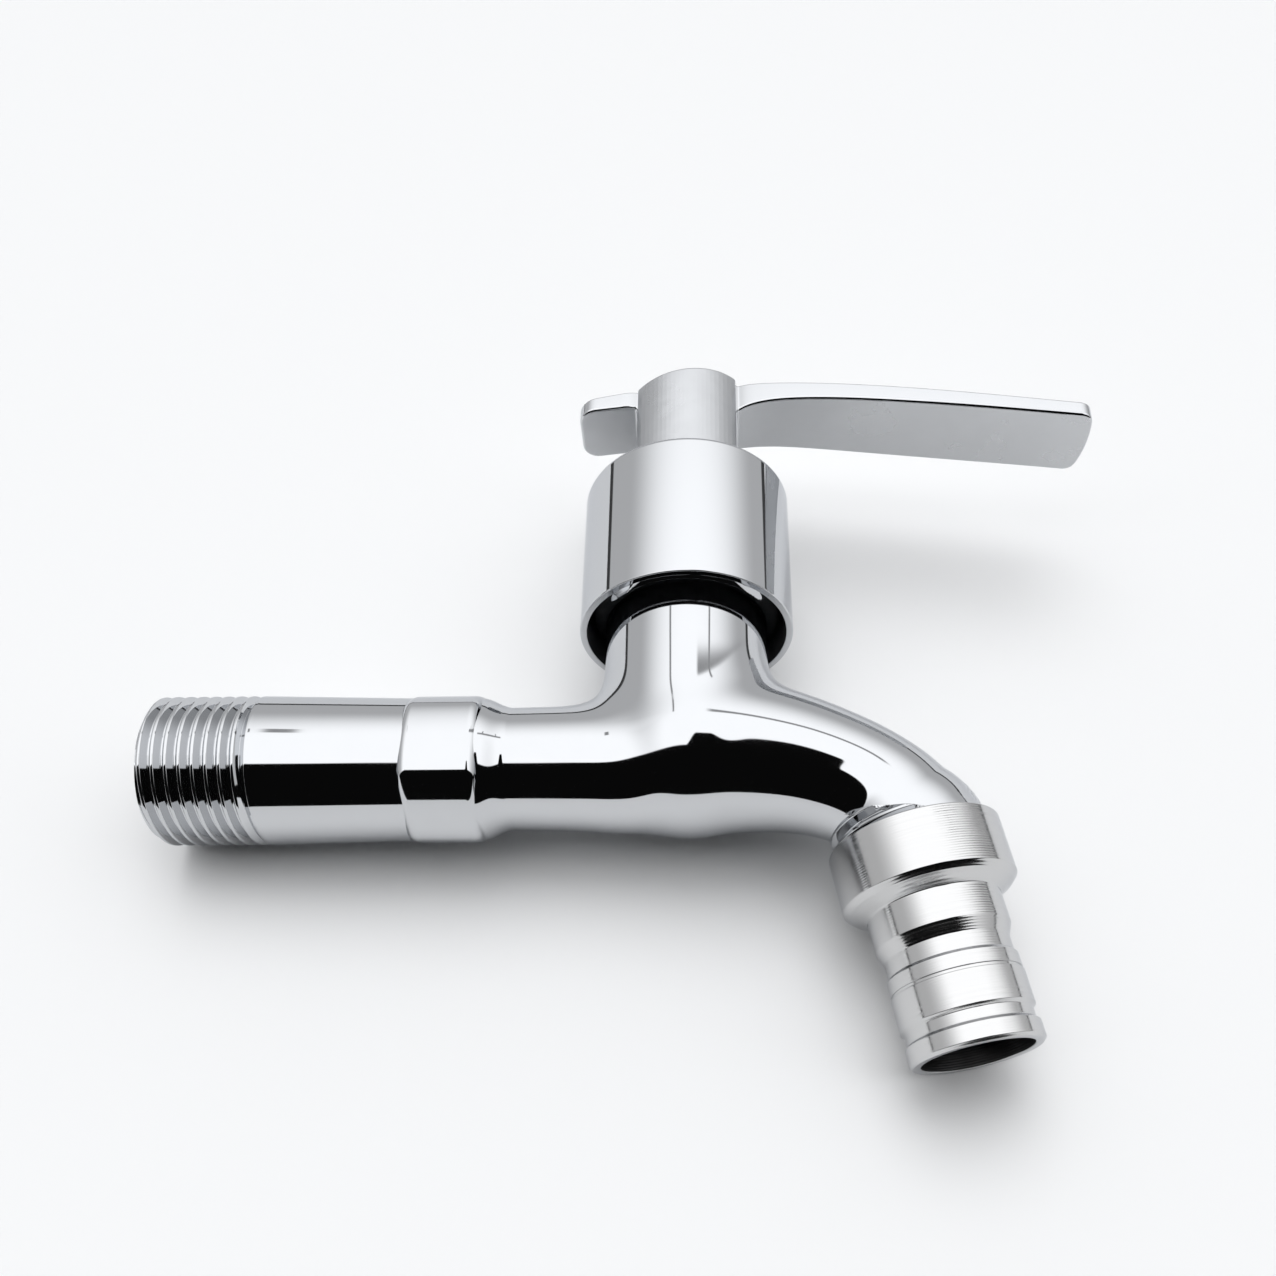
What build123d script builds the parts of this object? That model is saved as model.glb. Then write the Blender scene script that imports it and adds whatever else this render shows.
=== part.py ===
from build123d import *
import math
import os

# Washing machine tap with a quarter-turn ceramic headwork and a long lever handle.
# Millimetres. The origin is the centre of the inlet thread's free end.
# +X runs along the tap towards the spout, +Z up the valve stem. The tap is symmetric about Y = 0.

# Parallel pipe thread, size one half, on the inlet, in the neck and on the outlet spigot
pipe_thread_d = 20.955
pipe_thread_pitch = 1.814
pipe_thread_depth = 1.162
thread_root_flat = 0.25
thread_flank_angle = 27.5
thread_fit = 0.05

# Inlet: thread, tapering shank, wrench section and pipe
stem_x = 73.5
inlet_thread_length = 15.5
shank_end_d = 19.9
wrench_start = 36.0
wrench_length = 9.8
wrench_across_flats = 20.4
wrench_corner_round = 7.2
wrench_corner_d = 21.3
wrench_bevel = 0.5
wrench_cone_length = 3.6
pipe_d = 17.0
waterway_d = 13.0
mouth_chamfer = 0.8

# Valve chamber and neck, measured from the inlet's axis
chamber_d = 23.4
chamber_z = 2.2
chamber_swell_length = 24.0
neck_top_z = 28.0
neck_collar_d = 27.2
neck_collar_height = 3.0
neck_thread_length = 9.4
chamber_bore_d = 19.2
seat_z = 8.0
seat_hole_d = 9.2
inlet_end_past_stem = 5.0

# Spout, from the stem's axis to the nozzle's mouth
nozzle_end_x = 35.9
nozzle_end_z = -40.0
outlet_tilt = 11.3
spout_lead = 21.0
spout_tail = 2.0
spout_end_up = 32.4
spout_mid_d = 19.2
spout_end_d = 17.3
spout_foot_d = 18.4
spout_foot_height = 2.9
passage_start = 8.4
passage_z = 6.2
passage_start_d = 10.0
passage_end_d = 13.0
passage_lead = 9.5
passage_drop = 3.6
passage_tail = 7.0

# Outlet spigot and turned nozzle, measured up the outlet's axis from the nozzle's mouth
spigot_top_z = -9.2
spigot_bevel = 0.9
nozzle_bore_d = 14.06
nozzle_collar_d = 22.8
nozzle_collar_bottom = 21.5
nozzle_collar_top = 29.3
nozzle_collar_bevel = 0.7
nozzle_shoulder = 23.6
nozzle_washer_thickness = 1.8
nozzle_washer_inset = 0.4
nozzle_neck_d = 17.4
nozzle_neck_top = 19.6
nozzle_step_top = 15.3
nozzle_step_bottom = 13.6
nozzle_groove_d = 16.0
nozzle_ring_top = 11.5
nozzle_ring_d = 16.7
nozzle_tail_top = 9.3
nozzle_tail_d = 16.9
nozzle_tail_bottom = 4.6
nozzle_lip_top = 2.4
nozzle_lip_bevel = 0.4
nozzle_line_width = 0.4
nozzle_line_depth = 0.25

# Headwork housing
housing_bottom_gap = 1.0
housing_tube_d = 17.4
disc_bore_d = 15.7
window_bottom = 15.8
window_height = 2.4
window_angle = 70.0
housing_flange_d = 26.8
housing_flange_height = 1.5
housing_hex = 22.0
housing_hex_height = 5.5
housing_top_d = 18.0
housing_top_z = 43.2
gasket_thickness = 1.0
gasket_inset = 0.2

# Rubber seal and ceramic discs
seal_height = 2.6
seal_bore_d = 8.8
seal_groove_d = 12.2
seal_ring_height = 1.2
seal_ring_fit = 0.05
disc_height = 2.5
disc_fit = 0.1
moving_disc_gap = 0.35
port_inner_d = 5.6
port_outer_d = 12.4
port_angle = 80.0
disc_lug_width = 3.0
disc_lug_reach = 0.7
tongue_width = 3.6
tongue_length = 9.0
tongue_fit = 0.1
slot_depth = 1.5

# Spindle, its rings, thrust washer and clip
spindle_d = 10.0
spindle_fit = 0.05
spindle_flange_z = 18.6
spindle_flange_height = 2.1
spindle_flange_d = 11.6
stop_lug_angle = 70.0
stop_fit_angle = 0.3
lever_turn = 90.0
thrust_washer_height = 0.8
ring_groove_d = 7.2
ring_groove_width = 2.0
lower_groove_z = 25.0
upper_groove_z = 32.0
ring_fit = 0.015
clip_groove_d = 8.6
clip_groove_z = 43.5
clip_thickness = 0.9
clip_d = 12.6
clip_opening_angle = 70.0
clip_fit = 0.05
spline_start = 46.2
spline_top = 57.0
spline_d = 8.0
spline_root_d = 7.2
spline_teeth = 20
spline_fit = 0.05

# Cover round the headwork
cover_bottom_z = 21.6
cover_top_z = 45.0
cover_bottom_d = 30.94
cover_top_d = 30.7
cover_wall = 1.04
cover_top_thickness = 1.6
cover_edge_round = 0.8
cover_hole_d = 13.6
cover_boss_d = 22.4
cover_boss_height = 6.0
cover_thread_fit = 0.05

# Lever handle: hub
hub_gap = 0.4
hub_width = 15.3
hub_depth = 16.1
hub_face_radius = 10.4
hub_top_z = 65.65
hub_top_slope = 6.5
hub_edge_round = 0.5
hub_corner_round = 0.6
hub_bore_fit = 0.2
socket_gap = 0.4
web_thickness = 2.0
head_recess_d = 9.4
cap_seat_depth = 1.4

# Lever handle: blade over the spout and short tail, heights below the hub's top
tip_x = 61.8
tip_width = 11.8
tip_end_radius = 21.8
tip_corner_radius = 1.6
tip_drop = 7.05
tip_thickness = 2.8
blade_width = 10.6
blade_root_width = 8.6
blade_root_drop = 0.1
blade_flare_length = 7.5
blade_flare_slope = 0.45
blade_shoulder_x = 20.0
blade_shoulder_drop = 0.0
blade_thickness = 3.4
blade_root_thickness = 5.4
gooseneck_length = 4.0
blade_crown_radius = 60.0
tail_x = -16.8
tail_width = 10.2
tail_corner_radius = 2.0
tail_drop = 3.35
tail_root_drop = 1.45
tail_thickness = 2.4
tail_root_thickness = 3.3
blade_edge_round = 0.5

# Handle screw, its spring washer and the index cap
screw_d = 4.0
screw_fit = 0.05
screw_hole_d = 4.5
screw_length = 11.0
screw_hole_gap = 1.0
screw_head_d = 7.4
screw_head_height = 2.2
screw_head_round = 0.8
screw_cross_width = 1.0
screw_cross_length = 4.2
screw_cross_depth = 1.3
spring_washer_d = 7.6
spring_washer_thickness = 0.9
spring_washer_opening = 12.0
cap_d = 11.6
cap_fit = 0.1
cap_plug_length = 1.9
cap_plug_wall = 0.7
cap_edge_round = 0.3
cap_rise = 0.3

# Frames: the inlet's axis, the valve stem and the outlet's axis, each with +Z along the axis
inlet = Plane(origin=(0, 0, 0), x_dir=(0, 0, 1), z_dir=(1, 0, 0))
stem = Plane(origin=(stem_x, 0, 0))
outlet_turn = math.radians(outlet_tilt)
outlet = Plane(
    origin=(stem_x + nozzle_end_x, 0, nozzle_end_z),
    x_dir=(math.cos(outlet_turn), 0, math.sin(outlet_turn)),
    z_dir=(-math.sin(outlet_turn), 0, math.cos(outlet_turn)),
)

# Places that follow from the sizes
crest_r = pipe_thread_d / 2
chamber_r = chamber_d / 2
disc_bore_r = disc_bore_d / 2
spindle_r = spindle_d / 2
wrench_end = wrench_start + wrench_length
neck_thread_z = neck_top_z - neck_thread_length
spigot_bottom = nozzle_shoulder + nozzle_washer_thickness
housing_bottom_z = seat_z + housing_bottom_gap
fixed_disc_z = seat_z + seal_height
moving_disc_z = fixed_disc_z + disc_height
moving_disc_top = moving_disc_z + disc_height
thrust_washer_z = spindle_flange_z + spindle_flange_height
shaft_bore_z = thrust_washer_z + thrust_washer_height
flange_z = neck_top_z + gasket_thickness
hex_z = flange_z + housing_flange_height
hex_top_z = hex_z + housing_hex_height
hub_bottom_z = cover_top_z + hub_gap
web_z = spline_top + socket_gap
screw_washer_z = web_z + web_thickness
screw_head_z = screw_washer_z + spring_washer_thickness
cap_seat_z = hub_top_z - cap_seat_depth


def turned(*profile):
    """Solid of revolution about Z from (radius, height) points."""
    points = [(radius, 0, height) for radius, height in profile]
    return revolve(make_face(Polyline(*points, close=True)), Axis.Z)


def rod(diameter, bottom, top):
    """Round bar along Z."""
    return Pos(0, 0, bottom) * Cylinder(
        diameter / 2, top - bottom, align=(Align.CENTER, Align.CENTER, Align.MIN)
    )


def ring(outer_d, inner_d, bottom, top):
    """Flat ring about Z."""
    return rod(outer_d, bottom, top) - rod(inner_d, bottom, top)


def sector(radius, bottom, top, middle_angle, angle):
    """Wedge about Z, as wide as the angle, that reaches past the radius."""
    steps = math.ceil(angle / 30)
    corners = [(0, 0)]
    for step in range(steps + 1):
        turn = math.radians(middle_angle + angle * (step / steps - 0.5))
        corners.append((1.2 * radius * math.cos(turn), 1.2 * radius * math.sin(turn)))
    return Pos(0, 0, bottom) * extrude(make_face(Polyline(*corners, close=True)), top - bottom)


def ring_sector(outer_d, inner_d, bottom, top, middle_angle, angle):
    """Part of a ring, as wide as the angle and centred on the middle angle."""
    return ring(outer_d, inner_d, bottom, top) & sector(
        outer_d / 2, bottom, top, middle_angle, angle
    )


def thread_outline(bottom, top):
    """Outline of an outside thread from the bottom up: a groove for every whole pitch."""
    root_r = crest_r - pipe_thread_depth
    half_root = thread_root_flat / 2
    half_groove = half_root + pipe_thread_depth * math.tan(math.radians(thread_flank_angle))
    points = [(crest_r, bottom)]
    for turn in range(int((top - bottom) / pipe_thread_pitch)):
        middle = bottom + (turn + 0.5) * pipe_thread_pitch
        points.append((crest_r, middle - half_groove))
        points.append((root_r, middle - half_root))
        points.append((root_r, middle + half_root))
        points.append((crest_r, middle + half_groove))
    return points + [(crest_r, top)]


def tube_along(path, diameter_at, stations):
    """Smooth solid through circles across a path, with the diameter at each share of it."""
    circles = []
    for step in range(stations + 1):
        share = step / stations
        across = Plane(origin=path @ share, z_dir=path % share)
        circles.append(across * Circle(diameter_at(share) / 2))
    return loft(circles)


def curve_at(first, control, last, share):
    """Value at the share of a curve that a control value bends."""
    return first * (1 - share) ** 2 + 2 * control * share * (1 - share) + last * share ** 2


def inlet_form():
    """Threaded end, tapering shank, wrench section and pipe, about the inlet's axis."""
    shank = turned(
        (0, 0),
        (crest_r - mouth_chamfer, 0),
        *thread_outline(mouth_chamfer, inlet_thread_length),
        (shank_end_d / 2, wrench_start),
        (shank_end_d / 2, wrench_end),
        (pipe_d / 2, wrench_end + wrench_cone_length),
        (pipe_d / 2, stem_x),
        (0, stem_x),
    )
    corners = turned(
        (0, wrench_start - wrench_bevel),
        (wrench_corner_d / 2 - wrench_bevel, wrench_start - wrench_bevel),
        (wrench_corner_d / 2, wrench_start),
        (wrench_corner_d / 2, wrench_end - wrench_bevel),
        (shank_end_d / 2, wrench_end + wrench_bevel),
        (0, wrench_end + wrench_bevel),
    )
    hexagon = RegularPolygon(wrench_across_flats / 2, 6, major_radius=False)
    flats = Pos(0, 0, wrench_start - wrench_bevel) * extrude(
        fillet(hexagon.vertices(), wrench_corner_round), wrench_length + 2 * wrench_bevel
    )
    return inlet * (shank + (corners & flats))


def chamber_swell():
    """Tube that swells and rises from the pipe into the valve chamber."""
    circles = []
    stations = 6
    for step in range(stations + 1):
        share = step / stations
        centre_x = stem_x - chamber_swell_length * (1 - share)
        across = Plane(
            origin=(centre_x, 0, chamber_z * share ** 4), x_dir=(0, 0, 1), z_dir=(1, 0, 0)
        )
        diameter = pipe_d + (chamber_d - pipe_d) * share ** 3
        circles.append(across * Circle(diameter / 2))
    return loft(circles)


def spout_path():
    """Centre line of the spout, from the stem's axis to the spigot."""
    return Bezier(
        (stem_x, 0, chamber_z),
        (stem_x + spout_lead, 0, chamber_z),
        outlet.from_local_coords((0, 0, spout_end_up + spout_tail)),
        outlet.from_local_coords((0, 0, spout_end_up)),
    )


def passage_path():
    """Centre line of the water passage, from the valve chamber to the spigot."""
    start_x = stem_x + passage_start
    return Bezier(
        (start_x, 0, passage_z),
        (start_x + passage_lead, 0, passage_z - passage_drop),
        outlet.from_local_coords((0, 0, spout_end_up + passage_tail)),
        outlet.from_local_coords((0, 0, spout_end_up)),
    )


def spout_diameter(share):
    """Spout's diameter, from the chamber's down to the spigot end's."""
    return curve_at(chamber_d, 2 * spout_mid_d - (chamber_d + spout_end_d) / 2, spout_end_d, share)


def passage_diameter(share):
    """Water passage's diameter."""
    return passage_start_d + (passage_end_d - passage_start_d) * share


def spigot_thread():
    """Threaded part of the spigot. Its top is level, so it runs higher inside the bend."""
    top = spout_end_up + pipe_thread_d / 2
    whole = outlet * turned(
        (0, spigot_bottom),
        (crest_r - spigot_bevel, spigot_bottom),
        *thread_outline(spigot_bottom + spigot_bevel, top),
        (0, top),
    )
    below = Box(
        4 * pipe_thread_d,
        2 * pipe_thread_d,
        spigot_top_z - nozzle_end_z,
        align=(Align.CENTER, Align.CENTER, Align.MAX),
    )
    return whole & Pos(stem_x + nozzle_end_x, 0, spigot_top_z) * below


def tap_body():
    """Body: one casting, machined at the inlet, the neck and the outlet."""
    neck_collar_z = neck_top_z - neck_collar_height
    neck = turned(
        (0, chamber_z),
        (chamber_r, chamber_z),
        (chamber_r, neck_collar_z - (neck_collar_d - chamber_d) / 2),
        (neck_collar_d / 2, neck_collar_z),
        (neck_collar_d / 2, neck_top_z),
        (0, neck_top_z),
    )
    chamber = Pos(0, 0, chamber_z) * Sphere(chamber_r)
    body = inlet_form() + chamber_swell() + tube_along(spout_path(), spout_diameter, 7)
    body += stem * (neck + chamber)
    body += outlet * turned(
        (0, spigot_bottom),
        (spout_foot_d / 2, spigot_bottom),
        (spout_foot_d / 2, spout_end_up - spout_foot_height),
        (spout_end_d / 2, spout_end_up),
        (0, spout_end_up),
    )
    body += spigot_thread()

    inlet_bore = turned(
        (0, 0),
        (waterway_d / 2 + mouth_chamfer, 0),
        (waterway_d / 2, mouth_chamfer),
        (waterway_d / 2, stem_x + inlet_end_past_stem),
        (0, stem_x + inlet_end_past_stem),
    )
    neck_bore = turned(
        (0, seat_z),
        (chamber_bore_d / 2, seat_z),
        (chamber_bore_d / 2, neck_thread_z),
        (crest_r + thread_fit, neck_thread_z),
        (crest_r + thread_fit, neck_top_z),
        (0, neck_top_z),
    )
    body -= inlet * inlet_bore
    body -= stem * (neck_bore + rod(seat_hole_d, 0, seat_z))
    body -= tube_along(passage_path(), passage_diameter, 6)
    return body - outlet * rod(passage_end_d, spigot_bottom, spout_end_up)


def headwork_cover():
    """Thin bell with a threaded boss inside its top."""
    bottom_r = cover_bottom_d / 2
    top_r = cover_top_d / 2
    plate_z = cover_top_z - cover_top_thickness
    shell = turned(
        (bottom_r - cover_wall, cover_bottom_z),
        (bottom_r, cover_bottom_z),
        (top_r, cover_top_z),
        (cover_hole_d / 2, cover_top_z),
        (cover_hole_d / 2, plate_z),
        (top_r - cover_wall, plate_z),
    )
    rim = shell.edges().group_by(Axis.Z)[-1].sort_by(SortBy.RADIUS)[-1]
    shell = fillet(rim, cover_edge_round)
    boss_bore_d = housing_top_d + 2 * cover_thread_fit
    boss = ring(cover_boss_d, boss_bore_d, plate_z - cover_boss_height, plate_z)
    return stem * (shell + boss)


def headwork_housing():
    """Brass housing: windowed tube, threaded part, flange, hexagon and threaded top."""
    outside = turned(
        (0, housing_bottom_z),
        (housing_tube_d / 2, housing_bottom_z),
        (housing_tube_d / 2, neck_thread_z + gasket_thickness),
        (crest_r, neck_thread_z + gasket_thickness),
        (crest_r, flange_z),
        (housing_flange_d / 2, flange_z),
        (housing_flange_d / 2, hex_z),
        (housing_top_d / 2, hex_z),
        (housing_top_d / 2, housing_top_z),
        (0, housing_top_z),
    )
    hexagon = Pos(0, 0, hex_z) * extrude(
        RegularPolygon(housing_hex / 2, 6, major_radius=False), housing_hex_height
    )
    inside = turned(
        (0, housing_bottom_z),
        (disc_bore_r, housing_bottom_z),
        (disc_bore_r, shaft_bore_z),
        (spindle_r + spindle_fit, shaft_bore_z),
        (spindle_r + spindle_fit, housing_top_z),
        (0, housing_top_z),
    )
    housing = outside + (hexagon & rod(housing_flange_d, hex_z, hex_top_z)) - inside
    window_top = window_bottom + window_height
    housing -= sector(housing_tube_d / 2, window_bottom, window_top, 0, window_angle)
    housing -= sector(housing_tube_d / 2, window_bottom, window_top, 180, window_angle)
    housing -= Pos(0, 0, housing_bottom_z) * Box(
        disc_lug_width + 2 * disc_fit,
        housing_tube_d,
        moving_disc_z - housing_bottom_z,
        align=(Align.CENTER, Align.CENTER, Align.MIN),
    )
    stop = ring_sector(
        disc_bore_d + 2 * disc_fit,
        spindle_flange_d + 4 * disc_fit,
        spindle_flange_z,
        shaft_bore_z,
        180 + lever_turn / 2,
        360 - stop_lug_angle - lever_turn - 2 * stop_fit_angle,
    )
    return stem * (housing + stop)


def housing_gasket():
    """Flat ring between the neck's top and the housing's flange."""
    return stem * ring(
        neck_collar_d - 2 * gasket_inset, pipe_thread_d + 2 * gasket_inset, neck_top_z, flange_z
    )


def seat_seal():
    """Rubber ring between the body's seat and the fixed disc, with a step for its support."""
    seal = ring(disc_bore_d - 2 * disc_fit, seal_bore_d, seat_z, fixed_disc_z)
    step = rod(seal_groove_d, seat_z + (seal_height - seal_ring_height) / 2, fixed_disc_z)
    return stem * (seal - step)


def seal_support():
    """Stiff ring that keeps the seal from being pushed inwards."""
    bottom = seat_z + (seal_height - seal_ring_height) / 2
    return stem * ring(
        seal_groove_d - 2 * seal_ring_fit, seal_bore_d, bottom, bottom + seal_ring_height
    )


def disc_with_ports(diameter, bottom, top, port_direction):
    """Ceramic disc with two opposite ports."""
    disc = rod(diameter, bottom, top)
    for direction in (port_direction, port_direction + 180):
        disc -= ring_sector(port_outer_d, port_inner_d, bottom, top, direction, port_angle)
    return disc


def fixed_disc():
    """Lower ceramic disc, kept from turning by two lugs in the housing's slots."""
    lug_reach = disc_bore_d + 2 * disc_lug_reach
    lugs = ring(lug_reach, port_outer_d + 2 * disc_fit, fixed_disc_z, moving_disc_z)
    lugs &= Pos(0, 0, fixed_disc_z) * Box(
        disc_lug_width, lug_reach, disc_height, align=(Align.CENTER, Align.CENTER, Align.MIN)
    )
    disc = disc_with_ports(disc_bore_d - 2 * disc_fit, fixed_disc_z, moving_disc_z, 90)
    return stem * (disc + lugs)


def moving_disc():
    """Upper ceramic disc with a slot for the spindle's tongue. Its ports shut at rest."""
    disc_d = disc_bore_d - 2 * moving_disc_gap
    disc = disc_with_ports(disc_d, moving_disc_z, moving_disc_top, 0)
    slot = Pos(0, 0, moving_disc_top - slot_depth) * Box(
        tongue_width + 2 * tongue_fit,
        tongue_length + 2 * tongue_fit,
        slot_depth,
        align=(Align.CENTER, Align.CENTER, Align.MIN),
    )
    return stem * (disc - slot)


def spindle():
    """Brass spindle: tongue, flange with a stop lug, grooved shaft and splined top."""
    tongue_bottom = moving_disc_top - slot_depth + tongue_fit
    tongue = Pos(0, 0, tongue_bottom) * Box(
        tongue_width,
        tongue_length,
        spindle_flange_z - tongue_bottom,
        align=(Align.CENTER, Align.CENTER, Align.MIN),
    )
    shaft = rod(spindle_d, spindle_flange_z, spline_start)
    for groove_z in (lower_groove_z, upper_groove_z):
        shaft -= ring(spindle_d, ring_groove_d, groove_z, groove_z + ring_groove_width)
    shaft -= ring(
        spindle_d, clip_groove_d, clip_groove_z - clip_fit, clip_groove_z + clip_thickness + clip_fit
    )
    flange = rod(spindle_flange_d, spindle_flange_z, thrust_washer_z)
    lug = ring_sector(
        disc_bore_d - 2 * disc_fit,
        spindle_flange_d - 2 * disc_fit,
        spindle_flange_z,
        thrust_washer_z,
        0,
        stop_lug_angle,
    )
    spline = spline_bar(spline_root_d, spline_d, spline_start, spline_top)
    tapped_hole = rod(
        screw_d + 2 * screw_fit, screw_head_z - screw_length - screw_hole_gap, spline_top
    )
    return stem * (tongue + shaft + flange + lug + spline - tapped_hole)


def spline_bar(root_d, tip_d, bottom, top):
    """Bar with pointed teeth round it."""
    corners = []
    for half_step in range(2 * spline_teeth):
        turn = math.pi * half_step / spline_teeth
        radius = tip_d / 2 if half_step % 2 == 0 else root_d / 2
        corners.append((radius * math.cos(turn), radius * math.sin(turn)))
    return Pos(0, 0, bottom) * extrude(make_face(Polyline(*corners, close=True)), top - bottom)


def spindle_ring(groove_z):
    """Rubber ring in one of the spindle's grooves."""
    bore_r = spindle_r + spindle_fit
    groove_r = ring_groove_d / 2
    centre_z = groove_z + ring_groove_width / 2
    return stem * (
        Pos(0, 0, centre_z) * Torus((bore_r + groove_r) / 2, (bore_r - groove_r) / 2 - ring_fit)
    )


def thrust_washer():
    """Slippery washer between the spindle's flange and the housing's shoulder."""
    return stem * ring(
        spindle_flange_d, spindle_d + 2 * disc_fit, thrust_washer_z, shaft_bore_z
    )


def spindle_clip():
    """Open spring clip in the spindle's groove, just above the housing."""
    top = clip_groove_z + clip_thickness
    clip = ring(clip_d, clip_groove_d + 2 * clip_fit, clip_groove_z, top)
    return stem * (clip - sector(clip_d / 2, clip_groove_z, top, 180, clip_opening_angle))


def blade_plan():
    """Outline of the blade from above: waisted at the hub, wider to a rounded tip."""
    root_x = hub_width / 2
    shoulder_x = root_x + blade_flare_length
    root = blade_root_width / 2
    shoulder = blade_width / 2
    tip = tip_width / 2
    end_x = tip_x - tip_end_radius + math.sqrt(tip_end_radius ** 2 - tip ** 2)
    side = (end_x - shoulder_x, shoulder - tip)
    flare = Spline(
        (root_x, -root), (shoulder_x, -shoulder), tangents=[(1, -blade_flare_slope), side]
    )
    outline = Wire([
        Line((0, 0), (0, -root)),
        Line((0, -root), (root_x, -root)),
        flare,
        Line((shoulder_x, -shoulder), (end_x, -tip)),
        ThreePointArc((end_x, -tip), (tip_x, 0), (end_x, tip)),
        Line((end_x, tip), (shoulder_x, shoulder)),
        mirror(flare, about=Plane.XZ).edge(),
        Line((root_x, root), (0, root)),
        Line((0, root), (0, 0)),
    ])
    face = make_face(outline)
    corners = face.vertices().filter_by(lambda vertex: abs(vertex.X - end_x) < 0.01)
    return fillet(corners, tip_corner_radius)


def blade_slab():
    """Crowned slab with the blade's side profile, thick at the hub and thin beyond."""
    sections = []
    stations = 9
    reach = tip_width
    sag = blade_crown_radius - math.sqrt(blade_crown_radius ** 2 - reach ** 2)
    root_x = hub_width / 2
    for step in range(stations + 1):
        share = step / stations
        x = curve_at(root_x - 1, blade_shoulder_x, tip_x + 1, share)
        drop = curve_at(blade_root_drop, blade_shoulder_drop, tip_drop, share)
        fade = math.exp(-max(0, x - root_x) / gooseneck_length)
        thickness = blade_thickness + (tip_thickness - blade_thickness) * share ** 3
        thickness += (blade_root_thickness - blade_thickness) * fade
        top = hub_top_z - drop
        outline = Wire([
            Line((-reach, top - sag), (-reach, top - thickness)),
            Line((-reach, top - thickness), (reach, top - thickness)),
            Line((reach, top - thickness), (reach, top - sag)),
            ThreePointArc((reach, top - sag), (0, top), (-reach, top - sag)),
        ])
        across = Plane(origin=(x, 0, 0), x_dir=(0, 1, 0), z_dir=(1, 0, 0))
        sections.append(across * make_face(outline))
    return loft(sections)


def handle_blade():
    """Long blade that reaches over the spout, with rounded edges."""
    blade = blade_slab() & Pos(0, 0, hub_bottom_z) * extrude(blade_plan(), hub_top_z - hub_bottom_z)
    rims = blade.edges().filter_by(lambda edge: edge.center().X > hub_width / 2 + 0.1)
    rims = rims.filter_by(lambda edge: abs(edge.tangent_at(0.5).Z) < 0.9)
    return fillet(rims, blade_edge_round)


def handle_tail():
    """Short tail on the inlet's side of the hub."""
    root_x = -hub_width / 2
    profile = Polyline(
        (0, 0, hub_top_z - tail_root_drop),
        (root_x, 0, hub_top_z - tail_root_drop),
        (tail_x, 0, hub_top_z - tail_drop),
        (tail_x, 0, hub_top_z - tail_drop - tail_thickness),
        (root_x, 0, hub_top_z - tail_root_drop - tail_root_thickness),
        (0, 0, hub_top_z - tail_root_drop - tail_root_thickness),
        close=True,
    )
    tail = extrude(make_face(profile), tail_width / 2, both=True)
    end_edges = tail.edges().filter_by(lambda edge: abs(edge.center().X - tail_x) < 0.01)
    end_edges = end_edges.filter_by(lambda edge: abs(edge.tangent_at(0.5).Z) > 0.9)
    tail = fillet(end_edges, tail_corner_radius)
    rims = tail.edges().filter_by(lambda edge: edge.center().X < root_x - 0.1)
    rims = rims.filter_by(lambda edge: abs(edge.tangent_at(0.5).Z) < 0.9)
    return fillet(rims, blade_edge_round)


def below_hub_top(extra):
    """Everything under the hub's sloping top, raised by the extra height."""
    size = 4 * hub_depth
    block = Box(size, size, size, align=(Align.CENTER, Align.CENTER, Align.MAX))
    return Pos(0, 0, hub_top_z + extra) * (Rot(0, -hub_top_slope, 0) * block)


def handle_hub():
    """Hub: bowed front and back, flat where the blade and the tail leave it."""
    bow = hub_face_radius - hub_depth / 2
    height = hub_top_z - hub_bottom_z + hub_depth
    front = Pos(0, bow) * Circle(hub_face_radius)
    back = Pos(0, -bow) * Circle(hub_face_radius)
    plan = front & back & Rectangle(hub_width, 2 * hub_depth)
    plan = fillet(plan.vertices(), hub_corner_round)
    hub = Pos(0, 0, hub_bottom_z) * extrude(plan, height)
    hub &= below_hub_top(0)
    return fillet(hub.faces().sort_by(Axis.Z)[-1].edges(), hub_edge_round)


def lever_handle():
    """Die-cast handle with a splined socket for the spindle and a seat for the index cap."""
    handle = handle_hub() + handle_blade() + handle_tail()
    socket_bottom = spline_start + socket_gap
    handle -= rod(spindle_d + 2 * hub_bore_fit, hub_bottom_z, socket_bottom)
    handle -= spline_bar(
        spline_root_d + 2 * spline_fit, spline_d + 2 * spline_fit, socket_bottom, web_z
    )
    handle -= rod(screw_hole_d, web_z, screw_washer_z)
    handle -= rod(head_recess_d, screw_washer_z, cap_seat_z)
    handle -= rod(cap_d + 2 * cap_fit, cap_seat_z, hub_top_z + hub_depth)
    return stem * handle


def handle_screw():
    """Pan-head screw that holds the handle on the spindle."""
    head = rod(screw_head_d, screw_head_z, screw_head_z + screw_head_height)
    head = fillet(head.edges().sort_by(Axis.Z)[-1], screw_head_round)
    cross_z = screw_head_z + screw_head_height - screw_cross_depth
    for length, width in (
        (screw_cross_length, screw_cross_width),
        (screw_cross_width, screw_cross_length),
    ):
        head -= Pos(0, 0, cross_z) * Box(
            length, width, screw_cross_depth, align=(Align.CENTER, Align.CENTER, Align.MIN)
        )
    return stem * (head + rod(screw_d, screw_head_z - screw_length, screw_head_z))


def screw_washer():
    """Split spring washer under the screw's head."""
    washer = ring(spring_washer_d, screw_hole_d, screw_washer_z, screw_head_z)
    return stem * (
        washer - sector(spring_washer_d / 2, screw_washer_z, screw_head_z, 90, spring_washer_opening)
    )


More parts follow.
